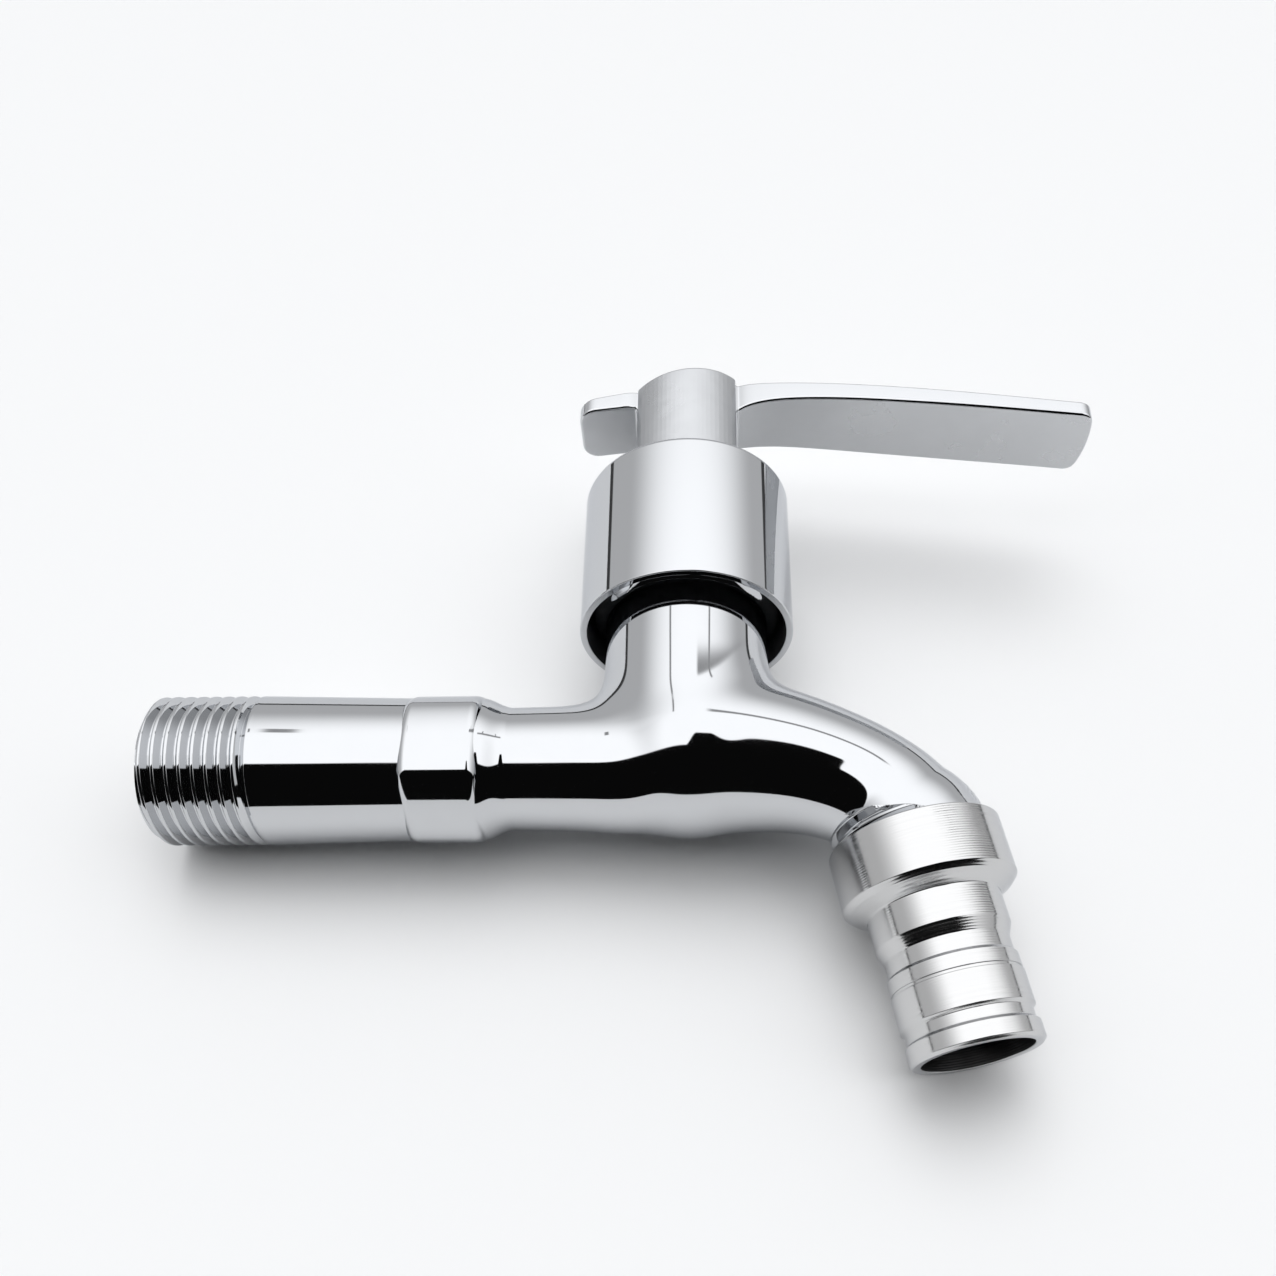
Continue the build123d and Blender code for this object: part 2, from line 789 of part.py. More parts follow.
def index_cap():
    """Plain plug over the screw. It follows the slope of the hub's top and stands just over it."""
    head = rod(cap_d, cap_seat_z, hub_top_z + hub_depth) & below_hub_top(cap_rise)
    head = fillet(head.faces().sort_by(Axis.Z)[-1].edges(), cap_edge_round)
    plug_d = head_recess_d - 2 * cap_fit
    plug = ring(plug_d, plug_d - 2 * cap_plug_wall, cap_seat_z - cap_plug_length, cap_seat_z)
    return stem * (head + plug)


def hose_nozzle():
    """Turned nozzle: threaded collar, then a stepped and grooved tail down to the mouth."""
    collar_r = nozzle_collar_d / 2
    neck_r = nozzle_neck_d / 2
    groove_r = nozzle_groove_d / 2
    ring_r = nozzle_ring_d / 2
    tail_r = nozzle_tail_d / 2
    bore_r = nozzle_bore_d / 2
    socket_r = crest_r + thread_fit
    line = nozzle_line_width
    nozzle = turned(
        (bore_r, 0),
        (tail_r - nozzle_lip_bevel, 0),
        (tail_r, nozzle_lip_bevel),
        (tail_r, nozzle_lip_top),
        (groove_r, nozzle_lip_top + line),
        (groove_r, nozzle_tail_bottom - line),
        (tail_r, nozzle_tail_bottom),
        (tail_r, nozzle_tail_top - line),
        (tail_r - nozzle_line_depth, nozzle_tail_top - line),
        (tail_r - nozzle_line_depth, nozzle_tail_top),
        (ring_r, nozzle_tail_top),
        (ring_r, nozzle_ring_top - line),
        (groove_r, nozzle_ring_top),
        (groove_r, nozzle_step_bottom),
        (neck_r, nozzle_step_top),
        (neck_r, nozzle_neck_top),
        (collar_r - nozzle_collar_bevel, nozzle_collar_bottom - nozzle_collar_bevel),
        (collar_r, nozzle_collar_bottom),
        (collar_r, nozzle_collar_top),
        (socket_r, nozzle_collar_top),
        (socket_r, nozzle_shoulder),
        (bore_r, nozzle_shoulder),
    )
    return outlet * nozzle


def nozzle_washer():
    """Flat rubber washer between the spigot's end and the nozzle's shoulder."""
    return outlet * ring(
        pipe_thread_d - 2 * nozzle_washer_inset,
        nozzle_bore_d + 2 * nozzle_washer_inset,
        nozzle_shoulder,
        spigot_bottom,
    )


nodes = {
    "tap_body": tap_body(),
    "headwork_cover": headwork_cover(),
    "lever_handle": lever_handle(),
    "hose_nozzle": hose_nozzle(),
    "headwork_housing": headwork_housing(),
    "housing_gasket": housing_gasket(),
    "spindle": spindle(),
    "spindle_o_ring_lower": spindle_ring(lower_groove_z),
    "spindle_o_ring_upper": spindle_ring(upper_groove_z),
    "thrust_washer": thrust_washer(),
    "spindle_clip": spindle_clip(),
    "moving_disc": moving_disc(),
    "fixed_disc": fixed_disc(),
    "seat_seal": seat_seal(),
    "seal_support": seal_support(),
    "handle_screw": handle_screw(),
    "screw_washer": screw_washer(),
    "index_cap": index_cap(),
    "nozzle_washer": nozzle_washer(),
}

os.makedirs("parts", exist_ok=True)
for name, shape in nodes.items():
    export_step(shape, f"parts/{name}.step")
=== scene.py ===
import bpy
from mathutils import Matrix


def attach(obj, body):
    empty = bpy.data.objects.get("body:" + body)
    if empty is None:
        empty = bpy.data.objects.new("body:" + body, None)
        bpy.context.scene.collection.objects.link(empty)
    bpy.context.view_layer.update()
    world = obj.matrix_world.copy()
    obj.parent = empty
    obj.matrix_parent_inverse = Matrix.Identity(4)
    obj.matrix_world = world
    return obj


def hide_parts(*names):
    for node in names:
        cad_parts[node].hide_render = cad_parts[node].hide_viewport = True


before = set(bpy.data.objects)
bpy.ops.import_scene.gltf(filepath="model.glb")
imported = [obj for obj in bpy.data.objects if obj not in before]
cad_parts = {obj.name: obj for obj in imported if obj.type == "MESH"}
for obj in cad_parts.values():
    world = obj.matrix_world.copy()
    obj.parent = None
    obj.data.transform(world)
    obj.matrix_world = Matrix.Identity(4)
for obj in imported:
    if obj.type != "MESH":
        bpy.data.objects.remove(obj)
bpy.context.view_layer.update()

import math
from types import SimpleNamespace

import bpy
import numpy as np
from mathutils import Matrix, Vector

bl_info = {
    "name": "Washing machine tap",
    "version": (1, 0, 0),
    "blender": (4, 5, 0),
    "location": "View3D > Sidebar > Tap",
    "description": "Chromed lever tap with a threaded inlet, a bent spout and a turned hose nozzle",
    "category": "Add Mesh",
}

MM = 0.001

# Axes that the pieces are turned about: a point, the two directions across, and the axis itself.
# The inlet's axis starts at the thread's free end, the stem's at the height of the inlet, and the
# outlet's at the nozzle's mouth.
STEM_X = 73.5
TILT = math.radians(11.3)
AXES = {
    "inlet": np.array([(0, 0, 0), (0, 1, 0), (0, 0, 1), (1, 0, 0)], float),
    "stem": np.array([(STEM_X, 0, 0), (1, 0, 0), (0, 1, 0), (0, 0, 1)], float),
    "outlet": np.array(
        [
            (STEM_X + 35.9, 0, -40.0),
            (math.cos(TILT), 0, math.sin(TILT)),
            (0, 1, 0),
            (-math.sin(TILT), 0, math.cos(TILT)),
        ]
    ),
}

# The floor that the tap lies on is the plane y = FLOOR_Y + FLOOR_ALONG x + FLOOR_UP z.
FLOOR_Y, FLOOR_ALONG, FLOOR_UP = 10.49, 0.0294, 0.1311

HUB_TOP_SLOPE = math.tan(math.radians(6.5))
SPIGOT_BOTTOM = 25.45
THREAD_FLANK = math.tan(math.radians(27.5))
THREADED_HOLE_RADIUS = 10.53


def length(name, default, description):
    """Property for a length, given here in millimetres and held in metres."""
    return bpy.props.FloatProperty(
        name=name, description=description, default=default * MM, min=0.0, precision=5, unit="LENGTH"
    )


def in_mm(group):
    """The lengths of a property group, in millimetres."""
    return SimpleNamespace(**{name: getattr(group, name) / MM for name in type(group).__annotations__})


def colour(name, default, description):
    """Property for a colour."""
    return bpy.props.FloatVectorProperty(
        name=name, description=description, default=default, size=3, subtype="COLOR", min=0, max=1
    )


class TAP_casting_sizes(bpy.types.PropertyGroup):
    """Sizes of the cast and machined body."""

    pipe_radius: length("Pipe radius", 8.45, "Radius of the pipe behind the wrench section")
    wrench_radius: length("Cone radius", 9.82, "Radius where the cone leaves the wrench section")
    cone_start: length("Cone start", 45.5, "Distance of the cone from the inlet's end")
    cone_length: length("Cone length", 4.2, "Length of the cone down to the pipe")
    chamber_radius: length("Chamber radius", 11.6, "Radius of the valve chamber and its neck")
    chamber_height: length("Chamber height", 2.2, "Height of the chamber over the inlet's axis")
    collar_radius: length("Neck collar radius", 13.6, "Radius of the neck's top under the cover")
    fillet: length("Fillet", 7.2, "Reach of the soft inner corners between neck, pipe and spout")
    cell: length("Cell", 0.42, "Size of the cells that the casting's surface is found on")


class TAP_thread_sizes(bpy.types.PropertyGroup):
    """Sizes of the inlet's shank and of both outside threads."""

    crest_radius: length("Crest radius", 10.4775, "Radius over the thread's crests")
    pitch: length("Pitch", 1.814, "Length of one turn of the thread")
    depth: length("Depth", 1.1, "Depth of the thread")
    thread_length: length("Thread length", 15.5, "Length of the inlet's thread")
    shank_radius: length("Shank radius", 9.95, "Radius of the shank at the wrench section")
    bore_radius: length("Bore radius", 6.5, "Radius of the waterway")
    across_flats: length("Across flats", 20.4, "Width over the wrench section's flats")
    across_corners: length("Across corners", 21.3, "Width over the wrench section's soft corners")


class TAP_cover_sizes(bpy.types.PropertyGroup):
    """Sizes of the bell-shaped cover."""

    bottom_radius: length("Bottom radius", 15.47, "Radius at the open bottom")
    top_radius: length("Top radius", 15.35, "Radius at the top")
    bottom: length("Bottom height", 21.6, "Height of the bottom over the inlet's axis")
    top: length("Top height", 45.0, "Height of the top over the inlet's axis")
    wall: length("Wall", 1.04, "Thickness of the wall")
    edge: length("Top rounding", 0.8, "Radius of the rounded top edge")


class TAP_nozzle_sizes(bpy.types.PropertyGroup):
    """Sizes of the turned nozzle."""

    collar_radius: length("Collar radius", 11.4, "Radius of the threaded collar")
    tail_radius: length("Tail radius", 8.45, "Radius of the hose tail")
    bore_radius: length("Bore radius", 7.03, "Radius of the bore")
    edge: length("Edge break", 0.12, "Radius of the broken edges")


class TAP_handle_sizes(bpy.types.PropertyGroup):
    """Sizes of the lever handle."""

    hub_width: length("Hub width", 15.3, "Width of the hub along the lever")
    hub_depth: length("Hub depth", 16.1, "Depth of the hub across the lever")
    hub_top: length("Hub top", 65.65, "Height of the hub's top on the stem's axis")
    blade_reach: length("Blade reach", 61.8, "Distance of the blade's tip from the stem")
    tail_reach: length("Tail reach", 16.8, "Distance of the tail's end from the stem")
    edge: length("Lower edge", 0.5, "Radius of the handle's lower edges")
    top_edge: length("Upper edge", 0.3, "Radius of the handle's upper edges")
    fillet: length("Fillet", 0.5, "Radius of the inner corners at the hub")


class TAP_finishes(bpy.types.PropertyGroup):
    """Colours of the finishes."""

    chrome: colour("Chrome", (0.60, 0.61, 0.625), "Polished chrome plating")
    satin: colour("Satin chrome", (0.575, 0.585, 0.60), "Plating over an unpolished casting")
    aluminium: colour("Aluminium", (0.62, 0.62, 0.62), "Turned aluminium of the nozzle")
    brass: colour("Brass", (0.78, 0.60, 0.33), "Brass inside the tap")
    rubber: colour("Rubber", (0.02, 0.02, 0.02), "Black rubber rings")
    floor: colour("Floor", (0.855, 0.86, 0.865), "Pale floor under the tap")


GROUPS = {
    "tap_casting": TAP_casting_sizes,
    "tap_thread": TAP_thread_sizes,
    "tap_cover": TAP_cover_sizes,
    "tap_nozzle": TAP_nozzle_sizes,
    "tap_handle": TAP_handle_sizes,
    "tap_finishes": TAP_finishes,
}


# Surfaces


def placed(points, axis):
    """Points (across, across, along) of an axis as points of the model: the axis's point plus
    each number times its direction."""
    origin, across, over, along = AXES[axis]
    return origin + points[..., 0:1] * across + points[..., 1:2] * over + points[..., 2:3] * along


def seen_from(points, axis):
    """Points of the model as (across, across, along) of an axis."""
    return (points - AXES[axis][0]) @ AXES[axis][1:].T


def smooth_step(value):
    """0 below 0, 1 above 1, and 3v^2 - 2v^3 between."""
    value = np.clip(value, 0, 1)
    return value * value * (3 - 2 * value)


def smooth_curve(knots, values, at, end_slopes=(None, None)):
    """Cubic curve through the values at the knots, with even bending and, where they are given,
    its slopes at the ends. Works on whole arrays."""
    knots, values = np.asarray(knots, float), np.asarray(values, float)
    gaps, steps = np.diff(knots), np.diff(values)
    count = len(knots)
    system, right = np.zeros((count, count)), np.zeros(count)
    inner = np.arange(1, count - 1)
    system[inner, inner - 1] = 1 / gaps[:-1]
    system[inner, inner] = 2 / gaps[:-1] + 2 / gaps[1:]
    system[inner, inner + 1] = 1 / gaps[1:]
    right[inner] = 3 * (steps[:-1] / gaps[:-1] ** 2 + steps[1:] / gaps[1:] ** 2)
    for row, near, gap, step, slope in (
        (0, 1, gaps[0], steps[0], end_slopes[0]),
        (-1, -2, gaps[-1], steps[-1], end_slopes[1]),
    ):
        if slope is None:
            system[row, row], system[row, near], right[row] = 2, 1, 3 * step / gap
        else:
            system[row, row], right[row] = 1, slope
    slopes = np.linalg.solve(system, right)
    part = np.clip(np.searchsorted(knots, at, side="right") - 1, 0, count - 2)
    share = (at - knots[part]) / gaps[part]
    return (
        (1 + 2 * share) * (1 - share) ** 2 * values[part]
        + share * (1 - share) ** 2 * gaps[part] * slopes[part]
        + share ** 2 * (3 - 2 * share) * values[part + 1]
        + share ** 2 * (share - 1) * gaps[part] * slopes[part + 1]
    )


def grid_faces(rows, columns, closed_rows=False, closed_columns=False):
    """Four-sided faces between the neighbours of a grid, joined round where it is closed."""
    down = np.arange(rows if closed_rows else rows - 1)[:, None]
    along = np.arange(columns if closed_columns else columns - 1)[None, :]
    below, after = (down + 1) % rows, (along + 1) % columns
    corners = [
        down * columns + along,
        down * columns + after,
        below * columns + after,
        below * columns + along,
    ]
    return np.stack(np.broadcast_arrays(*corners), axis=-1).reshape(-1, 4)


def welded(points, faces):
    """Points that fall together become one, and faces that shrink to a line are left out."""
    _, first, place = np.unique(np.round(points, 4), axis=0, return_index=True, return_inverse=True)
    faces = place.reshape(-1)[faces]
    around = np.roll(faces, -1, axis=1)
    kept = (faces != around).sum(axis=1) >= 3
    apart = (faces[:, 0] != faces[:, 2]) & (faces[:, 1] != faces[:, 3])
    return points[first], faces[kept & apart]


def turned_outwards(points, faces):
    """The faces with their corners in the order that makes a closed shell's volume positive."""
    a, b, c, d = (points[faces[:, corner]] for corner in range(4))
    volume = np.einsum("ij,ij->i", a, np.cross(b, c)) + np.einsum("ij,ij->i", a, np.cross(c, d))
    return faces if volume.sum() > 0 else faces[:, ::-1]


def point_normals(points, faces):
    """Normal at each point: the sum of its faces' normals, each as long as the face is large, so
    that broad faces stay flat and only the narrow ones at an edge turn."""
    a, b, c, d = (points[faces[:, corner]] for corner in range(4))
    large = np.cross(c - a, d - b)
    total = np.zeros_like(points)
    for corner in range(4):
        np.add.at(total, faces[:, corner], large)
    return total / np.maximum(np.linalg.norm(total, axis=1, keepdims=True), 1e-12)


def made_object(name, points, faces, normals=None):
    """Object at the origin from points in millimetres and faces, shaded by its normals."""
    if normals is None:
        points, faces = welded(points, faces)
        faces = turned_outwards(points, faces)
        normals = point_normals(points, faces)
    doubled = faces == np.roll(faces, -1, axis=1)
    corners = faces.tolist()
    if doubled.any():
        corners = [tuple(face[~twice]) for face, twice in zip(faces, doubled)]
    mesh = bpy.data.meshes.new(name)
    mesh.from_pydata((points * MM).tolist(), [], corners)
    mesh.update()
    mesh.shade_smooth()
    mesh.normals_split_custom_set_from_vertices(normals.tolist())
    piece = bpy.data.objects.new(name, mesh)
    bpy.context.scene.collection.objects.link(piece)
    return piece


def face_centres(piece):
    """Centre of each face of a piece, in millimetres."""
    return np.array([face.center for face in piece.data.polygons]) / MM


def give_second_finish(piece, chosen):
    """The chosen faces of a piece take the second of its finishes."""
    piece.data.polygons.foreach_set("material_index", chosen.astype(np.int32))


def round_axis(radius, angle, along):
    """Points (across, across, along) of an axis: the radius times the angle's cosine and sine, and
    the distance along."""
    across = (radius * np.cos(angle), radius * np.sin(angle))
    return np.stack(np.broadcast_arrays(*across, along), axis=-1)


def rounded(corners, steps=4):
    """Closed outline through corners (x, y, radius). Each corner is an arc that touches both of its
    sides. The arc's points stand at even angles between the two points where it touches."""
    table = np.array(corners, float)
    here, radius = table[:, :2], table[:, 2]
    back, ahead = np.roll(here, 1, axis=0) - here, np.roll(here, -1, axis=0) - here
    back_size, ahead_size = np.linalg.norm(back, axis=1), np.linalg.norm(ahead, axis=1)
    back, ahead = back / back_size[:, None], ahead / ahead_size[:, None]
    half = np.arccos(np.clip((back * ahead).sum(axis=1), -1, 1)) / 2
    reach = np.minimum(radius / np.tan(half), 0.49 * np.minimum(back_size, ahead_size))
    radius = reach * np.tan(half)
    middle = back + ahead
    middle /= np.maximum(np.linalg.norm(middle, axis=1), 1e-9)[:, None]
    centre = here + middle * (radius / np.sin(half))[:, None]
    turn = np.linspace(-1, 1, steps + 1)[None, :, None] * (math.pi / 2 - half)[:, None, None]
    side = (back - ahead) / np.maximum(np.linalg.norm(back - ahead, axis=1), 1e-9)[:, None]
    spoke = -middle[:, None] * np.cos(turn) - side[:, None] * np.sin(turn)
    return (centre[:, None] + spoke * radius[:, None, None]).reshape(-1, 2)


def turned_piece(name, axis, corners, columns=192, steps=4):
    """A closed outline (radius, height, rounding) turned once round an axis: each point of the
    outline goes round in a circle of its radius at its height."""
    outline = rounded(corners, steps)
    angle = np.linspace(0, 2 * math.pi, columns, endpoint=False)
    points = round_axis(outline[:, None, 0], angle, outline[:, None, 1])
    faces = grid_faces(len(outline), columns, closed_rows=True, closed_columns=True)
    return made_object(name, placed(points, axis).reshape(-1, 3), faces)


# Casting


def spout_line():
    """Knots of the spout's middle line in the tap's plane, as (distance, across, height) from the
    stem. It leaves the chamber level and ends on the outlet's axis, inside the nozzle's collar."""
    across = [0.0, 4.9, 9.75, 14.5, 19.19, 22.19, 24.9, 27.05, 28.75]
    height = [2.2, 2.05, 1.52, 0.6, -0.84, -2.12, -3.72, -5.55, -7.65]
    origin, _, _, along = AXES["outlet"]
    for up in (30.4, 28.0, 25.0):
        across.append(origin[0] - STEM_X + up * along[0] + 0.75)
        height.append(origin[2] + up * along[2])
    distance = np.concatenate([[0], np.cumsum(np.hypot(np.diff(across), np.diff(height)))])
    return distance, np.array(across), np.array(height)


def spout_radius(distance):
    """Radius of the spout at a distance along its middle line: a smooth curve through its sizes."""
    knots = [0, 4, 8, 14.6, 20, 24.6, 28, 31, 34, 37, 42]
    radii = [11.5, 11.35, 10.75, 9.70, 8.97, 8.57, 8.5, 8.72, 9.1, 9.4, 9.45]
    return smooth_curve(knots, radii, distance, (0, None))


class Casting:
    """The tap's body as a distance: below 0 inside the metal, above 0 outside, 0 on the surface."""

    # Ends: the x behind the wrench section, the neck's top, the place up the outlet's axis
    start_x, neck_top, spout_end = 44.6, 28.0, 25.4
    # The pipe swells and rises into the chamber, and the neck widens into its collar
    swell_radius, swell_reach, rise_length = 11.5, 7.0, 13.0
    widening_start, widening_length = 22.9, 2.1
    # Bores: radius, then where each one starts or ends
    chamber_bore, chamber_floor = 9.6, 8.0
    thread_floor = 18.6
    seat_bore, seat_top = 4.6, 9.0
    waterway_end, passage_start = 5.0, 6.0
    passage_knots, passage_radii = [0, 10, 30, 42], [4.5, 5.2, 6.4, 6.5]

    def __init__(self, sizes, bore_radius):
        self.sizes = sizes
        self.bore_radius = bore_radius
        self.distance, self.across, self.height = spout_line()
        self.table = np.linspace(0, self.distance[-1], 400)
        self.track = self.line(self.table)

    def line(self, distance):
        """Point of the spout's middle line at each distance."""
        end = AXES["outlet"][3]
        across = smooth_curve(self.distance, self.across, distance, (1, -end[0]))
        height = smooth_curve(self.distance, self.height, distance, (0, -end[2]))
        return np.stack([across, height], axis=-1)

    def nearest(self, across, height):
        """Distance along the spout's line of the point nearest to each place: the nearest of the
        table's points."""
        flat = np.stack([across.ravel(), height.ravel()], axis=-1)
        found = np.empty(len(flat))
        batch = 20000
        for start in range(0, len(flat), batch):
            part = flat[start:start + batch]
            gap = (part[:, None, 0] - self.track[None, :, 0]) ** 2
            gap += (part[:, None, 1] - self.track[None, :, 1]) ** 2
            found[start:start + batch] = self.table[gap.argmin(axis=1)]
        return found.reshape(across.shape)

    def foot(self, across, height, guess):
        """The nearest distance made exact: three steps along the line, each by the part of the gap
        that lies along it."""
        step = 0.02
        for _ in range(3):
            here, ahead = self.line(guess), self.line(guess + step)
            slope = (ahead - here) / step
            gap = np.stack([across, height], axis=-1) - here
            guess = guess + (gap * slope).sum(axis=-1) / (slope * slope).sum(axis=-1)
            guess = np.clip(guess, 0, self.distance[-1] - 2 * step)
        return guess

    def run(self, x, y, z, guess):
        """Pipe, chamber and spout, and the direction away from their middle line. Up to the stem:
        distance from a level line that rises by a smooth step, less a radius that swells as
        1 / (1 + (x/7)^2)^1.4. Past the stem: distance from the spout's line, less its radius."""
        size = self.sizes
        cone = smooth_step((x + STEM_X - size.cone_start) / size.cone_length)
        swell = (1 + (x / self.swell_reach) ** 2) ** -1.4
        radius = size.pipe_radius + (self.swell_radius - size.pipe_radius) * swell
        radius = radius + (size.wrench_radius - size.pipe_radius) * (1 - cone)
        rise = size.chamber_height * smooth_step((x + self.rise_length) / self.rise_length) ** 1.8
        before = np.hypot(y, z - rise)
        at = self.foot(np.maximum(x, 0), z, guess)
        centre = self.line(at)
        flat = np.stack([x, z], axis=-1) - centre
        after = np.sqrt((flat ** 2).sum(axis=-1) + y ** 2)
        inlet = x < 0
        value = np.where(inlet, before - radius, after - spout_radius(at))
        way = np.stack(
            [np.where(inlet, 0, flat[..., 0]), y, np.where(inlet, z - rise, flat[..., 1])], axis=-1
        )
        return value, way / np.maximum(np.linalg.norm(way, axis=-1, keepdims=True), 1e-6)

    def neck(self, x, y, z):
        """Round-ended bar up the stem that widens into the collar, and the direction away from its
        middle line."""
        size = self.sizes
        low = np.minimum(z - size.chamber_height, 0)
        reach = np.sqrt(x * x + y * y + low * low)
        wide = smooth_step((z - self.widening_start) / self.widening_length)
        wide = wide * (size.collar_radius - size.chamber_radius)
        way = np.stack([x, y, low], axis=-1) / np.maximum(reach, 1e-6)[..., None]
        return reach - size.chamber_radius - wide, way

    def bores(self, x, y, z):
        """Waterway, chamber, neck thread, seat hole and spout passage: each a round bar's distance,
        cut off at its ends. The nearest of them counts."""
        from_stem, past_stem = np.hypot(x, y), np.maximum(x, 0)
        waterway = np.maximum(np.hypot(y, z) - self.bore_radius, x - self.waterway_end)
        chamber = np.maximum(from_stem - self.chamber_bore, self.chamber_floor - z)
        thread = np.maximum(from_stem - THREADED_HOLE_RADIUS, self.thread_floor - z)
        seat = np.maximum(from_stem - self.seat_bore, np.maximum(-z, z - self.seat_top))
        at = self.foot(past_stem, z, self.nearest(past_stem, z))
        centre = self.line(at)
        off_line = np.sqrt((x - centre[..., 0]) ** 2 + (z - centre[..., 1]) ** 2 + y ** 2)
        passage = off_line - smooth_curve(self.passage_knots, self.passage_radii, at)
        passage = np.maximum(passage, self.passage_start - x)
        return np.minimum.reduce([waterway, chamber, thread, seat, passage])

    def outside(self, points, guess):
        """Pipe, spout and neck joined with a soft inner corner: the smaller distance, less h^3 k / 6,
        where h falls from 1 to 0 as the two distances part by k. k is widest where the two surfaces
        meet at a right angle, and small where they run alike."""
        x, y, z = points[..., 0] - STEM_X, points[..., 1], points[..., 2]
        run, run_way = self.run(x, y, z, guess)
        neck, neck_way = self.neck(x, y, z)
        square = 1 - (run_way * neck_way).sum(axis=-1)
        reach = 1.5 + self.sizes.fillet * smooth_step(square / 1.3) * 1.2
        near = np.maximum(reach - np.abs(run - neck), 0) / reach
        return np.minimum(run, neck) - near ** 3 * reach / 6

    def metal(self, points, guess):
        """The joined outside, cut off at its three ends and less its bores."""
        x, y, z = points[..., 0] - STEM_X, points[..., 1], points[..., 2]
        along = seen_from(points, "outlet")[..., 2]
        beside_outlet = (x > 12) & (z < -2)
        end = np.where(beside_outlet, self.spout_end - along, -50)
        ends = np.maximum(self.start_x - points[..., 0], np.maximum(z - self.neck_top, end))
        shape = np.maximum(self.outside(points, guess), ends)
        return np.maximum(shape, -self.bores(x, y, z))


def casting_surface(casting, low, high):
    """Surface where the casting's distance is 0. Space is cut into cells. Each cell that the surface
    crosses gets one point, the middle of the places where it crosses the cell's edges, which is then
    moved along the slope of the distance until that is 0. Each cell edge that is crossed gives a
    face between its four cells. The normal is the slope of the distance."""
    cell = casting.sizes.cell
    counts = np.ceil((high - low) / cell).astype(int) + 1
    lines = [low[axis] + cell * np.arange(counts[axis]) for axis in range(3)]
    flat_x, flat_z = np.meshgrid(lines[0] - STEM_X, lines[2], indexing="ij")
    guess = casting.nearest(np.maximum(flat_x, 0), flat_z)
    corners = np.stack(np.meshgrid(*lines, indexing="ij"), axis=-1)
    value = casting.metal(corners, np.broadcast_to(guess[:, None, :], corners.shape[:3]))
    total, crossings = np.zeros(counts - 1), np.zeros((*(counts - 1), 3))
    solid = value < 0
    edges = []
    for axis in range(3):
        start = tuple(slice(0, -1) if other == axis else slice(None) for other in range(3))
        stop = tuple(slice(1, None) if other == axis else slice(None) for other in range(3))
        crossed = solid[start] != solid[stop]
        index = np.argwhere(crossed)
        first, second = value[start][crossed], value[stop][crossed]
        spot = corners[start][crossed].copy()
        spot[:, axis] += cell * first / (first - second)
        others = [other for other in range(3) if other != axis]
        cells = []
        for shift in ((0, 0), (1, 0), (1, 1), (0, 1)):
            near = index.copy()
            near[:, others[0]] -= shift[0]
            near[:, others[1]] -= shift[1]
            cells.append(near)
            inside = ((near >= 0) & (near < counts - 1)).all(axis=1)
            picked = tuple(near[inside].T)
            np.add.at(total, picked, 1)
            np.add.at(crossings, picked, spot[inside])
        edges.append((np.stack(cells, axis=1), solid[start][crossed], axis))
    used = total > 0
    number = np.full(used.shape, -1)
    number[used] = np.arange(used.sum())
    points = crossings[used] / total[used][:, None]
    faces = []
    for cells, from_solid, axis in edges:
        inside = ((cells >= 0) & (cells < counts - 1)).all(axis=(1, 2))
        quad = number[tuple(np.moveaxis(cells[inside], -1, 0))]
        turn = from_solid[inside] == (axis != 1)
        faces.append(np.where(turn[:, None], quad, quad[:, ::-1]))
    faces = np.concatenate(faces)
    guess = casting.nearest(np.maximum(points[:, 0] - STEM_X, 0), points[:, 2])
    for _ in range(3):
        slope = casting_slope(casting, points, guess)
        gap = casting.metal(points, guess)
        move = -gap[:, None] * slope / np.maximum((slope * slope).sum(axis=1), 0.2)[:, None]
        points = points + np.clip(move, -0.5 * cell, 0.5 * cell)
    slope = casting_slope(casting, points, guess)
    return points, faces, slope / np.maximum(np.linalg.norm(slope, axis=1, keepdims=True), 1e-9)


def casting_slope(casting, points, guess):
    """Slope of the casting's distance, from its change over a small step each way."""
    step = 0.01
    slope = np.empty_like(points)
    for axis in range(3):
        shift = np.zeros(3)
        shift[axis] = step
        ahead = casting.metal(points + shift, guess)
        slope[:, axis] = (ahead - casting.metal(points - shift, guess)) / (2 * step)
    return slope


def thread_rows(sizes):
    """One turn of the thread's outline, crest to crest, as (share of the pitch, depth). The flanks
    lean 27.5 degrees, and the corners at the crest and at the root are rounded."""
    flank = sizes.depth * THREAD_FLANK
    root = (sizes.pitch - 2 * flank) * 0.42 / 2
    middle, over, rounding = sizes.pitch / 2, 4, 0.16
    corners = [
        (-middle, over, 0),
        (-middle, 0, 0),
        (-root - flank, 0, rounding),
        (-root, sizes.depth, rounding),
        (root, sizes.depth, rounding),
        (root + flank, 0, rounding),
        (middle, 0, 0),
        (middle, over, 0),
    ]
    outline = rounded(corners, 3)
    outline = outline[(np.abs(outline[:, 0]) <= middle - 1e-6) & (outline[:, 1] < over - 1)]
    return np.concatenate([[[0.0, 0.0]], outline / [sizes.pitch, 1] + [0.5, 0]])


def threaded_radius(sizes, angle, along, depth):
    """Radius of a thread: the crest's, less the outline's depth at the share of a pitch that is left
    of the distance along, after the angle's share of a turn is taken off it."""
    outline = thread_rows(sizes)
    share = (along / sizes.pitch - angle / (2 * math.pi)) % 1
    knots = np.concatenate([outline[:, 0], [1]])
    depths = np.concatenate([outline[:, 1], [0]])
    return sizes.crest_radius - np.interp(share, knots, depths) * depth


